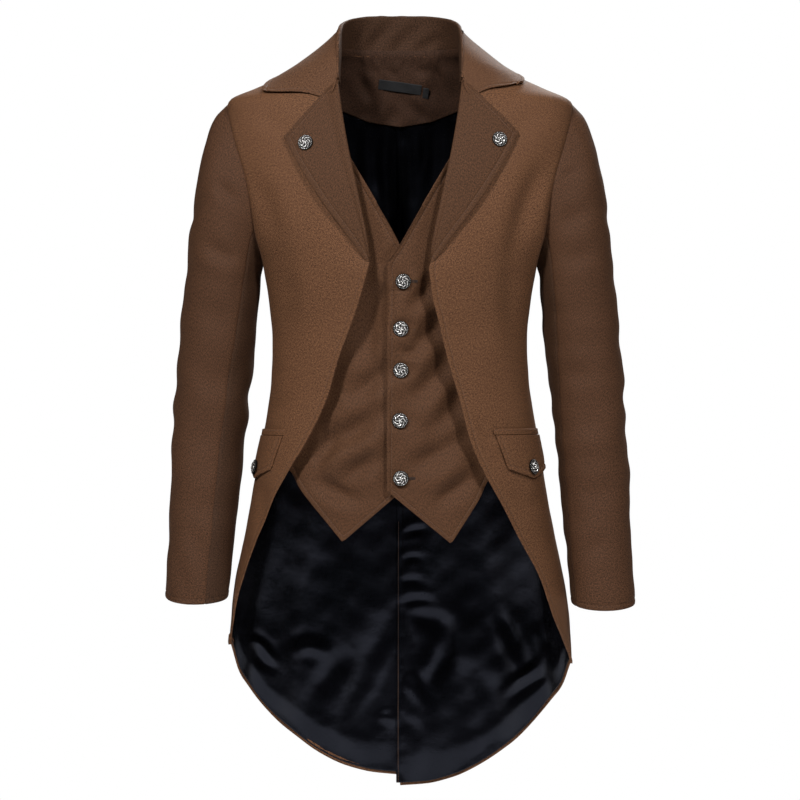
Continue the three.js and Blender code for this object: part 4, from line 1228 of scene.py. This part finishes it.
def lapel_flat(label, u, v):
    """Places on the flat lapel, from its roll line out to its edge."""
    tip_x, tip_z = LAPEL_TIP[label]
    roll_z = mix(LAPEL_TOP_Z, LAPEL_END_Z, v)
    edge_z = mix(tip_z, LAPEL_END_Z, v)
    roll_x = ROLL_LINE.x(roll_z)
    width = (tip_x - ROLL_LINE.x(tip_z + 0 * v)) * LAPEL_EDGE.out(edge_z)
    edge_x = ROLL_LINE.x(edge_z) + np.maximum(LAPEL_FOOT, width)
    return mix(roll_x, edge_x, u), mix(roll_z, edge_z, u)


def lapel_bulge(u, v):
    return LAPEL_LIFT * np.sin(math.pi * u ** 0.6) * (1 - 0.6 * v)


def lapel_point(side, label, u, v):
    x, z = lapel_flat(label, u, v)
    return on_body(side, front_angle(x, z), z, REST_GAP + CLOTH + lapel_bulge(np.clip(u, 0, 1), v))


def rolled_lapel(side, label, u, v):
    """The lapel with its fold: inside the front, round its edge, then out over it."""
    leaf = np.clip((u - ROLL_SHARE) / (1 - ROLL_SHARE), 0, 1)
    turn = np.pi * np.clip((u - ROLL_SHARE / 2) / (ROLL_SHARE / 2), 0, 1)
    back = np.clip(1 - u / (ROLL_SHARE / 2), 0, 1)
    roll = LAPEL_ROLL * (1 - 0.35 * ease(v, 0.85, 1))
    x, z = lapel_flat(label, leaf, v)
    fade = 1 - ease(leaf, 0, 0.3)
    x = x + (roll - roll * np.sin(turn)) * fade + LAPEL_RETURN * back
    sprung = LAPEL_SPRING * leaf * leaf * np.sin(math.pi * np.clip(0.12 + 0.9 * v, 0, 1))
    rest = REST_GAP + CLOTH + (lapel_bulge(leaf, v) + sprung)
    rolled = -CLOTH / 2 - roll * np.cos(turn)
    lift = np.where(u < ROLL_SHARE, rolled, mix(-CLOTH / 2 + roll, rest, ease(leaf, 0, 0.25)))
    return on_body(side, front_angle(x, z), z, lift)


def lapel(side, label):
    def outward(grid):
        out = np.zeros_like(grid)
        out[:, grid.shape[1] // 2:, 1] = -1
        return out

    edges = {"left": "plain", "right": "turned", "top": "turned", "foot": "plain"}
    return Panel(f"lapel_cloth_{label}", partial(rolled_lapel, side, label), 44, 74, edges, LAPEL_SHADED_CLOTH,
                 LAPEL_CLOTH, outward, waves=(wave(seed=41, size=60, height=0.35),), seed=15 + side,
                 node=f"lapel_{label}", fine=6, grain=side * LAPEL_GRAIN, held="folded",
                 rests_on=(f"coat_front_{label}",))


# Collar
COLLAR_NECK = Table(("w", "x", "y", "z"), [
    (0, 75, -46, -34),
    (0.17, 74.5, -31, -10),
    (0.33, 74, -13, 5),
    (0.42, 74.2, 2.5, 13.2),
    (0.5, 79.5, 12, 15.8),
    (0.67, 70, 51.4, 15.6),
    (0.83, 40, 70, 15.6),
    (1, 0, 74, 15.6),
])
COLLAR_FOLD = Table(("w", "x", "y", "z"), [
    (0, 78.5, -60, -25),
    (0.17, 79.5, -42, 2),
    (0.33, 80, -16, 28),
    (0.5, 78, 12, 47),
    (0.67, 66, 40, 58),
    (0.83, 37, 62, 63),
    (1, 0, 70, 64),
])
COLLAR_EDGE = Table(("w", "theta", "z", "bulge", "sag"), [
    (0, 52, -43, 6, 24),
    (0.17, 72, -29, 5, 8),
    (0.33, 98, -20, 3, 0),
    (0.5, 125, -18, 3, 0),
    (0.67, 143, -15, 5, 0),
    (0.83, 162, -10, 5, 0),
    (1, 180, -7, 5, 0),
])
COLLAR_TIP_RAISE = {LEFT: 0, RIGHT: 11}
COLLAR_ROLL = 3.4  # radius of the fold behind the neck
COLLAR_END_ROLL = 1.5  # and at its ends
NECK_AXIS = 20  # the middle of the neck, behind the origin
COLLAR_LIFT = 3.2
COLLAR_CREST = 0.58
COLLAR_NUDGE = 0.02
STAND_SHARE = 0.25
FOLD_SHARE = 0.45
SHOULDER_SHARE = 0.97
GORGE_DIP = 25  # the leaf's front edge hangs lower where it meets the lapel
GORGE_SHARE = 0.11


def read_point(table, w, side):
    return points(side * table.x(w), table.y(w), table.z(w))


def dot(a, b):
    return np.sum(a * b, axis=-1, keepdims=True)


def clear_of_body(side, point, lift):
    """Points too close to the coat move straight out in front of it or behind it."""
    x, y, z = point[..., 0], point[..., 1], point[..., 2]
    theta = front_angle(side * x, z)
    front = on_body(side, theta, z, lift + 0 * z)[..., 1]
    back = on_body(side, 180 - theta, z, lift + 0 * z)[..., 1]
    centre = BODY.centre(z)
    moved = np.where((y > front) & (y < centre), front, y)
    moved = np.where((moved < back) & (moved > centre), back, moved)
    near_end = side * x > BODY.half(z) * SHOULDER_SHARE
    return points(x, np.where(near_end, y, moved), z)


def collar_half(side, w, v):
    """The collar on one side: up its stand, over its fold, down its leaf."""
    edge_z = COLLAR_EDGE.z(w) + COLLAR_TIP_RAISE[side] * (1 - w) ** 4
    neck, fold = read_point(COLLAR_NECK, w, side), read_point(COLLAR_FOLD, w, side)
    edge = on_body(side, COLLAR_EDGE.theta(w), edge_z, COLLAR_LIFT + 0 * w)
    ahead = read_point(COLLAR_FOLD, np.minimum(1, w + COLLAR_NUDGE), side)
    behind = read_point(COLLAR_FOLD, np.maximum(0, w - COLLAR_NUDGE), side)
    tangent = unit(ahead - behind)
    out = edge - neck
    out = unit(out - tangent * dot(out, tangent))
    up = unit(np.cross(tangent, out))
    up = np.where(dot(up, fold - neck) < 0, -up, up)
    roll = mix(COLLAR_END_ROLL, COLLAR_ROLL, ease(w, 0.05, 0.5))[..., None]
    middle = fold - up * roll
    turn = np.pi * np.clip((v - STAND_SHARE) / (FOLD_SHARE - STAND_SHARE), 0, 1)[..., None]
    rolled = middle - out * roll * np.cos(turn) + up * roll * np.sin(turn)
    stand = mix(neck, rolled, np.clip(v / STAND_SHARE, 0, 1)[..., None])
    start = middle + out * roll
    chord = edge - start
    raised = unit(up - chord * dot(up, chord) / dot(chord, chord))
    control = mix(start, edge, COLLAR_CREST) + raised * 2 * COLLAR_EDGE.bulge(w)[..., None]
    control = control - tangent * COLLAR_EDGE.sag(w)[..., None]
    t = np.clip((v - FOLD_SHARE) / (1 - FOLD_SHARE), 0, 1)[..., None]
    curve = (1 - t) ** 2 * start + 2 * t * (1 - t) * control + t * t * edge
    dip = GORGE_DIP * (1 - w[..., None]) ** 7 * (t / GORGE_SHARE) * np.exp(1 - t / GORGE_SHARE)
    leaf = clear_of_body(side, curve - tangent * dip, COLLAR_LIFT)
    return np.where(v[..., None] < FOLD_SHARE, stand, leaf)


def collar_point(u, v):
    w = 1 - np.abs(u - 0.5) * 2
    return np.where((u < 0.5)[..., None], collar_half(LEFT, w, v), collar_half(RIGHT, w, v))


COLLAR_CREASES = creases([
    ((-46, 18), (-30, 34), (-6, 58), 2.8, 9),
    ((-12, 18), (6, 34), (24, 54), 3.0, 10),
    ((20, 18), (36, 28), (56, 40), 2.6, 8),
    ((-64, 14), (-56, 30), (-40, 52), 2.2, 7),
])


def collar():
    def outward(grid):
        out = np.zeros_like(grid)
        out[-1] = grid[-1] * (1, 1, 0)
        return out

    edges = {"left": "turned", "right": "turned", "top": "seam", "foot": "turned"}
    cut = Panel("collar_cloth", collar_point, 110, 50, edges, COLLAR_SHADED_CLOTH, outward=outward,
                relief=COLLAR_CREASES, waves=(wave(seed=43, size=55, height=0.35),), seed=21,
                node="collar", fine=4, grain=90, held="folded",
                rests_on=("coat_back_left", "coat_back_right"))
    shade_stand(cut)
    return cut


def shade_stand(cut):
    """The face of the stand that turns to the neck gets a darker copy of the same cloth: painted shade."""
    mesh = cut.object.data
    mesh.materials.append(STAND_SHADED_CLOTH)
    from_neck = (cut.grid - (0, NECK_AXIS, 0)) * (1, 1, 0)
    painted_shade_faces = (np.sum(cut.normal * from_neck, axis=-1) < 0)[:-1, :-1].ravel()
    slots = np.zeros(len(mesh.polygons), np.int32)
    slots[:len(painted_shade_faces)] = painted_shade_faces
    mesh.polygons.foreach_set("material_index", slots)


# Waistcoat fronts
WAISTCOAT_LEVEL = -420
WAISTCOAT_LOWER_LEVEL = -520
WAISTCOAT_LOWER_ROWS = 5
WAISTCOAT_ROWS = [-92, -112, -138, -170, -204, -238, -268, -305, -342, -380, -420]
WAISTCOAT_UNDERLAP = 30
WAISTCOAT_SINK = 11.0  # the cloth lies this much deeper beside the coat's edges
WAISTCOAT_SINK_MIDDLE = 4
WAISTCOAT_SINK_WIDTH = 21
BUTTON_PULL = 13  # about each button the cloth lies flat as far as this
BUTTON_PULL_SHIFT = 4
BUTTON_PULL_STRETCH = 1.3
BUTTON_HOLD = 0.9
OVERLAP_STAND = 1.8  # the upper half's edge stands off the lower half
OVERLAP_WIDTH = 6
OVERLAP_SINK = 3.5  # the lower half lies deeper behind that edge
OVERLAP_SINK_FROM = -14
OVERLAP_SINK_FULL = -1
WAISTCOAT_SEWN_GAP = 1.1
WAISTCOAT_SEWN_FROM = 0.6
WAISTCOAT = {
    "left": {
        "inset": 11, "point": (-72, -611), "inner": -538, "outer": -498,
        "edge": Table(("z", "x"), [(-92, -80), (-125, -63), (-238, 0), (-266, 13), (-560, 13)]),
    },
    "right": {
        "inset": 8.2, "point": (64, -613), "inner": -547, "outer": -508,
        "edge": Table(("z", "x"), [(-92, 82), (-132, 60), (-238, 0), (-268, -16.5), (-560, -16.5)]),
    },
}


def waistcoat_point(side, label, u, v):
    spec = WAISTCOAT[label]
    point_x, point_z = spec["point"]
    listed = len(WAISTCOAT_ROWS) - 1
    place = np.clip(v, 0, 1) * (listed + WAISTCOAT_LOWER_ROWS)
    lower = np.maximum(0, (place - listed) / WAISTCOAT_LOWER_ROWS)
    below = mix(WAISTCOAT_LEVEL, WAISTCOAT_LOWER_LEVEL, lower)
    level = np.where(lower > 0, below, row_at(WAISTCOAT_ROWS, place / listed))
    inner = spec["edge"].x(level)
    outer = side * (coat_edge_x(label, level) + WAISTCOAT_UNDERLAP)
    middle = mix((inner + outer) / 2, point_x, lower)
    near, far = u * 2, u * 2 - 1
    x = np.where(u < 0.5, mix(inner, middle, near), mix(middle, outer, far))
    foot = np.where(u < 0.5, mix(spec["inner"], point_z, near), mix(point_z, spec["outer"], far))
    z = np.where(lower > 0, mix(WAISTCOAT_LEVEL, foot, lower), level)
    inset = mix(spec["inset"], CLOTH + WAISTCOAT_SEWN_GAP, ease(u, WAISTCOAT_SEWN_FROM, 1))
    return body_point(side, front_angle(x * side, z, inset), z, inset)


def waistcoat(side, label):
    def sunk(place):
        """The cloth lies deeper where the coat's edge crosses it, and under the other half's edge."""
        beyond = np.abs(place[..., 0]) - coat_edge_x(label, place[..., 2])
        from_edge = place[..., 0] - WAISTCOAT["right"]["edge"].x(place[..., 2])
        overlap = OVERLAP_STAND * np.exp(-(from_edge / OVERLAP_WIDTH) ** 2)
        if label == "left":
            overlap = -OVERLAP_SINK * ease(from_edge, OVERLAP_SINK_FROM, OVERLAP_SINK_FULL)
        near = np.exp(-((beyond - WAISTCOAT_SINK_MIDDLE) / WAISTCOAT_SINK_WIDTH) ** 2)
        return overlap - WAISTCOAT_SINK * near

    def buttoned(place):
        """The buttons hold the cloth flat about them."""
        held = 1 + 0 * place[..., 0]
        for x, z in WAISTCOAT_BUTTONS:
            across = (place[..., 0] - x - BUTTON_PULL_SHIFT) / BUTTON_PULL_STRETCH
            away = np.hypot(across, place[..., 2] - z)
            held = held * (1 - BUTTON_HOLD * np.exp(-(away / BUTTON_PULL) ** 4))
        return held

    edges = {"left": "turned", "right": "plain", "top": "plain", "foot": "turned"}
    return Panel(f"waistcoat_cloth_{label}", partial(waistcoat_point, side, label), 40, 130, edges,
                 WAISTCOAT_SHADED_CLOTH, relief=WAISTCOAT_CREASES,
                 waves=(wave(seed=47, size=80, height=0.5), sunk), seed=25 + side,
                 node=f"waistcoat_{label}", hold=buttoned if label == "right" else None,
                 rests_on=(f"coat_front_{label}",))


# Pockets
POCKET = {"left": (76, -470), "right": (61, -469)}
WELT_WIDTH = 108
WELT_HEIGHT = 8
FLAP_TOP_WIDTH = 105
FLAP_FOOT_WIDTH = 84
FLAP_SIDE = 43
FLAP_TIP = 55
FLAP_STAND = 1.5
FLAP_PUFF = 0.8
WELT_PUFF = 0.25


def flap_point(side, label, u, v):
    theta, top = POCKET[label]
    reach = mix(FLAP_TIP, FLAP_SIDE, np.abs(u - 0.5) * 2)
    width = mix(FLAP_TOP_WIDTH, FLAP_FOOT_WIDTH, v)
    z = top - WELT_HEIGHT - REST_GAP - reach * v
    lift = REST_GAP + CLOTH + FLAP_STAND * v
    return on_body(side, step_round(side, theta, z, width * (u - 0.5)), z, lift)


def welt_point(side, label, u, v):
    theta, top = POCKET[label]
    z = top - WELT_HEIGHT * v
    return on_body(side, step_round(side, theta, z, WELT_WIDTH * (u - 0.5)), z, REST_GAP + CLOTH + 0 * z)


def pocket(side, label):
    def puffed(place):
        return WELT_PUFF + undulation(place, seed=53, size=30, height=0.12)

    def flap_puff(place):
        return FLAP_PUFF + 0 * place[..., 0]

    turned = {"left": "turned", "right": "turned", "top": "plain", "foot": "turned"}
    welt = Panel(f"welt_cloth_{label}", partial(welt_point, side, label), 60, 6, PLAIN_EDGES, COAT_CLOTH,
                 waves=(puffed,), node=f"pocket_welt_{label}", held="laid", rests_on=(f"coat_front_{label}",))
    flap = Panel(f"flap_cloth_{label}", partial(flap_point, side, label), 40, 24, turned, COAT_CLOTH,
                 waves=(puffed, flap_puff), seed=27 + side, node=f"pocket_flap_{label}",
                 rests_on=(f"coat_front_{label}",))
    return welt, flap


# Labels
LABEL = {"x": 0, "z": -22, "width": 57, "height": 13, "tilt": -8}
SIZE_TAB = {"x": 34, "z": -30, "width": 8, "height": 14, "tilt": -6}
RIBBON = 0.6  # thickness
RIBBON_CLEAR = 2.2  # off the facing, which has folds of its own


def ribbon_piece(name, node, spec):
    tilt = math.radians(spec["tilt"])

    def point_at(u, v):
        across, down = (u - 0.5) * spec["width"], (v - 0.5) * spec["height"]
        x = spec["x"] + across * math.cos(tilt) + down * math.sin(tilt)
        z = spec["z"] + across * math.sin(tilt) - down * math.cos(tilt)
        lift = CLOTH + LINING_GAP + SATIN + LINING_EASE + RIBBON_CLEAR
        return inside_back(np.where(x < 0, LEFT, RIGHT), 180 - front_angle(np.abs(x), z), z, lift + 0 * z)

    return Panel(name, point_at, 24, 10, PLAIN_EDGES, RIBBON_CLOTH, RIBBON, toward_axis,
                 waves=(wave(seed=59, size=18, height=0.2),), slot="woven_label", node=node, held="laid",
                 rests_on=("neck_facing",))


# Stitches, each a short bead of thread sunk in its groove
STITCH_LENGTH = 2.6
STITCH_PITCH = 3.3
STITCH_RADIUS = 0.32
STITCH_RAISE = 0.08
BEAD_SIDES = 6
BEAD_RINGS = ((-0.5, 0.25), (-0.36, 0.85), (0, 1.0), (0.36, 0.85), (0.5, 0.25))


def bead(place, along, out, length, radius):
    """Vertices of one stitch, sagging at both ends into the cloth."""
    across = np.cross(along, out)
    rings = []
    for share, size in BEAD_RINGS:
        centre = place + along * length * share - out * radius * 2.2 * share * share
        for k in range(BEAD_SIDES):
            turn = 2 * math.pi * k / BEAD_SIDES
            rings.append(centre + (across * math.cos(turn) + out * math.sin(turn)) * radius * size)
    return rings


def bead_faces(start):
    faces = []
    for ring in range(len(BEAD_RINGS) - 1):
        for k in range(BEAD_SIDES):
            a, b = start + ring * BEAD_SIDES + k, start + ring * BEAD_SIDES + (k + 1) % BEAD_SIDES
            faces.append((a, b, b + BEAD_SIDES, a + BEAD_SIDES))
    faces.append(tuple(start + k for k in range(BEAD_SIDES - 1, -1, -1)))
    last = start + (len(BEAD_RINGS) - 1) * BEAD_SIDES
    faces.append(tuple(last + k for k in range(BEAD_SIDES)))
    return faces


def along_line(line, pitch):
    spots, normals = line
    length = np.linalg.norm(np.diff(spots, axis=0), axis=1)
    run = np.concatenate([[0], np.cumsum(length)])
    want = np.arange(pitch / 2, run[-1], pitch)
    place = np.stack([np.interp(want, run, spots[:, c]) for c in range(3)], axis=1)
    out = unit(np.stack([np.interp(want, run, normals[:, c]) for c in range(3)], axis=1))
    return place, unit(np.gradient(place, axis=0)), out


def beads(name, stitches, material, slot="suiting"):
    """One mesh of many stitches, each a place, its direction, the way out, a length and a radius."""
    vertices, faces = [], []
    for stitch in stitches:
        faces += bead_faces(len(vertices))
        vertices += bead(*stitch)
    threads = make_mesh(name, np.array(vertices), faces, material)
    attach(threads, "root")


def stitching(name, lines, slot="suiting"):
    stitches = []
    for line in lines:
        if len(line[0]) < 3:
            continue
        for place, along, out in zip(*along_line(line, STITCH_PITCH)):
            stitches.append((place + out * STITCH_RAISE, along, out, STITCH_LENGTH, STITCH_RADIUS))
    beads(name, stitches, THREAD, slot)


HOLE_LENGTH = 15
HOLE_START = 2.5
HOLE_STITCHES = 13
HOLE_STITCH_LENGTH = 2.0
HOLE_SLIT = 0.9
HOLE_RAISE = 0.2
HOLE_THREAD = 0.5
VENT_STITCHES = 520  # from the lining's top to the first stitch of the vent


def buttonholes():
    """Worked buttonholes that run out beside the waistcoat's buttons; their thread is painted dark, as the
    shade in their slits.
    """
    stitches = []
    inset = WAISTCOAT["right"]["inset"]
    upright = np.array((0, 0, 1.0))
    for x, z in WAISTCOAT_BUTTONS:
        height = np.array(float(z))
        for across in np.linspace(x + HOLE_START, x + HOLE_START + HOLE_LENGTH, HOLE_STITCHES):
            theta = front_angle(np.array(across), height, inset)
            out = body_normal(RIGHT, theta, height, inset)
            for step in (-HOLE_SLIT, HOLE_SLIT):
                place = body_point(RIGHT, theta, height + step, inset) + out * HOLE_RAISE
                stitches.append((place, upright, out, HOLE_STITCH_LENGTH, HOLE_THREAD))
    beads("buttonholes", stitches, BUTTONHOLE_THREAD_AND_SHADE)


# Buttons
BUTTON_RADIUS = 9.8
BUTTON_EDGE = 9.6
BUTTON_FACE = 9.3
SHANK_FOOT = -0.6
BUTTON_BELOW = ((BUTTON_EDGE, 2.2), (8.6, 1.6), (3.0, 1.4), (3.0, SHANK_FOOT), (0.4, SHANK_FOOT))
RELIEF = 1.2  # height of the ornament
RELIEF_MIDDLE = 0.8
RELIEF_END = 9.4
# The face's brightness level is raised by the first, and the rim is painted darker by the second, as painted
# shade
FACE_BRIGHTENING = 0.12
RIM_PAINTED_SHADE = 0.8  # painted shade: how much darker the rim is painted than the face
BUTTON_PROFILE = Table(("r", "height"), [
    (0, 6.6), (2.4, 6.45), (4.6, 6.05), (6.6, 5.4), (8, 4.8), (9, 4.1), (9.5, 3.5), (BUTTON_RADIUS, 2.7),
])
BUTTON_TURNS = 96
LAPEL_BUTTON = {"left": (0.74, 0.16), "right": (0.78, 0.14)}
FLAP_BUTTON = 0.74
WAISTCOAT_BUTTONS = ((4, -285), (1, -344), (1, -396), (0, -459), (1, -531))
BUTTON_CLEAR = 0.5


def button_ornament(r, turn):
    """A raised five-petalled flower in a wreath of scrolls, with a beaded rim."""
    petals = np.exp(-((r - 2.3) / 1.2) ** 2) * (0.5 + 0.5 * np.cos(5 * turn))
    heart = np.exp(-(r / 0.8) ** 2)
    scroll = np.exp(-((r - 5.8) / 1.5) ** 2) * (0.5 + 0.5 * np.cos(7 * turn + 1.9 * (r - 5.8)))
    beads = np.exp(-((r - 8.8) / 0.55) ** 2) * (0.5 + 0.5 * np.cos(24 * turn))
    return np.clip(petals + heart + scroll + beads, 0, 1.1)


def button_points():
    """One button's points about its axis, and each one's brightness: patina in the ornament's hollows, and
    painted shade at the rim.
    """
    radii = np.concatenate([np.linspace(0.35, BUTTON_FACE, 30), [BUTTON_EDGE, BUTTON_RADIUS]])
    turns = np.arange(BUTTON_TURNS) * 2 * math.pi / BUTTON_TURNS
    r, turn = np.meshgrid(radii, turns, indexing="ij")
    carved = button_ornament(r, turn)
    height = BUTTON_PROFILE.height(r) + RELIEF * (carved - RELIEF_MIDDLE) * (r < RELIEF_END)
    # Brightness level: the ornament's crests and hollows, with painted shade that darkens the rim
    patina_and_shade = carved + FACE_BRIGHTENING - RIM_PAINTED_SHADE * ease(r, 8.3, BUTTON_EDGE)
    face = points(r * np.cos(turn), r * np.sin(turn), height).reshape(-1, 3)
    below = [points(radius * np.cos(turns), radius * np.sin(turns), level) for radius, level in BUTTON_BELOW]
    ends = [(0, 0, BUTTON_PROFILE.height(0.0) - 0.1), (0, 0, SHANK_FOOT)]
    patina_and_shade = np.concatenate([patina_and_shade.ravel(), np.zeros(len(below) * BUTTON_TURNS), [0.9, 0]])
    return np.concatenate([face, *below, np.array(ends)]), patina_and_shade


def button_faces(count):
    """Rings of quads from the crown to the shank's foot, closed at both ends."""
    faces = []
    rings = (count - 2) // BUTTON_TURNS
    for ring in range(rings - 1):
        for k in range(BUTTON_TURNS):
            a, b = ring * BUTTON_TURNS + k, ring * BUTTON_TURNS + (k + 1) % BUTTON_TURNS
            faces.append((a, a + BUTTON_TURNS, b + BUTTON_TURNS, b))
    top, foot = count - 2, count - 1
    low = (rings - 1) * BUTTON_TURNS
    for k in range(BUTTON_TURNS):
        faces.append((top, k, (k + 1) % BUTTON_TURNS))
        faces.append((foot, low + (k + 1) % BUTTON_TURNS, low + k))
    return faces


def button(name, place, facing, node, spin):
    local, patina_and_shade = button_points()
    z = unit(np.asarray(facing, float))
    level = unit(np.cross((0, 0, 1.0), z))
    x = level * math.cos(spin) + unit(np.cross(z, level)) * math.sin(spin)
    y = np.cross(z, x)
    world = place + local[:, :1] * x + local[:, 1:2] * y + local[:, 2:] * z
    body = make_mesh(name, world, button_faces(len(local)), SILVER)
    body.data.attributes.new("height", "FLOAT", "POINT").data.foreach_set("value", patina_and_shade.astype(np.float32))
    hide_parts(node)
    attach(body, "root")
    return body


def seat(point_at, u, v):
    """Where a button sits on a sheet, and the way that the sheet faces there."""
    step = 0.02

    def at(a, b):
        return point_at(np.array([[a]], float), np.array([[b]], float))[0, 0]

    facing = unit(np.cross(at(u + step, v) - at(u - step, v), at(u, v + step) - at(u, v - step)))
    place = at(u, v)
    if facing @ (place * (1, 1, 0)) < 0:
        facing = -facing
    return place + facing * REST_GAP, facing


def buttons():
    for side, label in SIDES:
        place, facing = seat(partial(lapel_point, side, label), *LAPEL_BUTTON[label])
        button(f"silver_lapel_{label}", place, facing, f"button_lapel_{label}", 0.3)
        place, facing = seat(partial(flap_point, side, label), 0.5, FLAP_BUTTON)
        button(f"silver_pocket_{label}", place, facing, f"button_pocket_{label}", 0.8)
    inset = WAISTCOAT["right"]["inset"] - BUTTON_CLEAR
    for k, (x, z) in enumerate(WAISTCOAT_BUTTONS, start=1):
        height = np.array(float(z))
        theta = front_angle(np.array(float(x)), height, inset)
        place = body_point(RIGHT, theta, height, inset)
        facing = body_normal(RIGHT, theta, height, inset)
        button(f"silver_waistcoat_{k}", place, facing, f"button_waistcoat_{k}", 0.5 * k)


# The coat
def coat():
    lines = []
    for side, label in SIDES:
        front = coat_front(side, label)
        back = coat_back(side, label)
        sleeves(side, label)
        flat_lapel = lapel(side, label)
        vest = waistcoat(side, label)
        welt, flap = pocket(side, label)
        satin_back = lining(side, label)
        if side == RIGHT:
            vent = [satin_back.line("left", distance=2.8, start=VENT_STITCHES)]
        lines += [
            front.line("left", start=300),
            back.line("foot", distance=5.2),
            flat_lapel.line("right", start=STITCH_LINE),
            flat_lapel.line("top", start=24, end=STITCH_LINE),
            vest.line("left", end=STITCH_LINE),
            vest.line("foot", start=STITCH_LINE),
            flap.line("left", end=STITCH_LINE),
            flap.line("right", end=STITCH_LINE),
            flap.line("foot", start=STITCH_LINE, end=STITCH_LINE),
            welt.line("top", distance=2.0),
        ]
    fold = collar()
    lines.append(fold.line("foot", start=STITCH_LINE, end=STITCH_LINE))
    lines += [fold.line(end, start=60, end=STITCH_LINE) for end in ("left", "right")]
    neck_facing()
    ribbon_piece("label_ribbon", "label", LABEL)
    ribbon_piece("size_ribbon", "size_tab", SIZE_TAB)
    stitching("topstitching", lines)
    stitching("vent_stitching", vent, slot="lining_satin")
    buttonholes()
    buttons()


# Studio
CAMERA_DISTANCE = 4.5
SENSOR_WIDTH = 36  # millimetres
CAMERA_HEIGHT = -0.433
FRAME_WIDTH = 1.024  # metres across the picture where the coat hangs
FLOOR = -1.45  # metres, as are all the studio's sizes
FLOOR_RADIUS = 3.0
FLOOR_MIDDLE = 1.0  # behind the coat
AMBIENT = 0.03  # light from the pale surroundings, which the camera sees as white
CHEST = (0, 0, -0.55)
TAILS = (0, 0.3, -0.8)

# Square lamps: size in metres and power in watts
LIGHTS = (
    {"name": "key_left", "place": (-1.5, -2.7, 2.1), "target": CHEST, "size": 0.5, "power": 116},
    {"name": "key_right", "place": (1.5, -2.7, 1.9), "target": CHEST, "size": 0.5, "power": 76},
    {"name": "back", "place": (0.9, 3.2, 2.6), "target": TAILS, "size": 1.4, "power": 190},
)


def camera():
    data = bpy.data.cameras.new("camera")
    data.sensor_width = SENSOR_WIDTH
    data.lens = SENSOR_WIDTH * CAMERA_DISTANCE / FRAME_WIDTH
    data.clip_end = 50
    body = bpy.data.objects.new("camera", data)
    body.location = (0, -CAMERA_DISTANCE, CAMERA_HEIGHT)
    body.rotation_euler = (math.pi / 2, 0, 0)
    bpy.context.scene.collection.objects.link(body)
    bpy.context.scene.camera = body


def studio_floor():
    """A round pale floor at the height on which the wearer would stand."""
    shader = Shader("pale_floor")
    speckle = shader.noise(shader.solid_place(), scale=30, detail=3, roughness=0.5)
    colour = shader.ramp(speckle, (0.3, (0.9, 0.9, 0.9)), (0.7, (0.94, 0.94, 0.94)))
    rough = shader.scaled(speckle, factor=0.05, offset=0.85)
    material = shader.finish(colour, rough, shader.bump(speckle, distance=0.0002, strength=0.1))
    turns = np.linspace(0, 2 * math.pi, 97)[:-1]
    rim = points(FLOOR_RADIUS * np.cos(turns), FLOOR_MIDDLE + FLOOR_RADIUS * np.sin(turns), FLOOR) / MM
    floor = make_mesh("floor", rim, [tuple(range(len(turns)))], material)


def area_light(name, place, target, size, power):
    data = bpy.data.lights.new(name, "AREA")
    data.size = size
    data.energy = power
    body = bpy.data.objects.new(name, data)
    body.location = place
    body.rotation_euler = (Vector(target) - Vector(place)).to_track_quat("-Z", "Y").to_euler()
    bpy.context.scene.collection.objects.link(body)


def lights():
    for light in LIGHTS:
        area_light(**light)


def surroundings():
    """Pale surroundings: white to the camera, and only a soft glow on the cloth."""
    world = bpy.data.worlds.new("studio")
    world.use_nodes = True
    tree = world.node_tree
    glow = tree.nodes["Background"]
    glow.inputs["Color"].default_value = (0.95, 0.97, 1, 1)
    glow.inputs["Strength"].default_value = AMBIENT
    white = tree.nodes.new("ShaderNodeBackground")
    white.inputs["Color"].default_value = (1, 1, 1, 1)
    seen = tree.nodes.new("ShaderNodeLightPath").outputs["Is Camera Ray"]
    choose = tree.nodes.new("ShaderNodeMixShader")
    tree.links.new(seen, choose.inputs[0])
    tree.links.new(glow.outputs[0], choose.inputs[1])
    tree.links.new(white.outputs[0], choose.inputs[2])
    tree.links.new(choose.outputs[0], tree.nodes["World Output"].inputs["Surface"])
    bpy.context.scene.world = world
    bpy.context.scene.view_settings.view_transform = "Standard"


camera()
coat()
studio_floor()
lights()
surroundings()
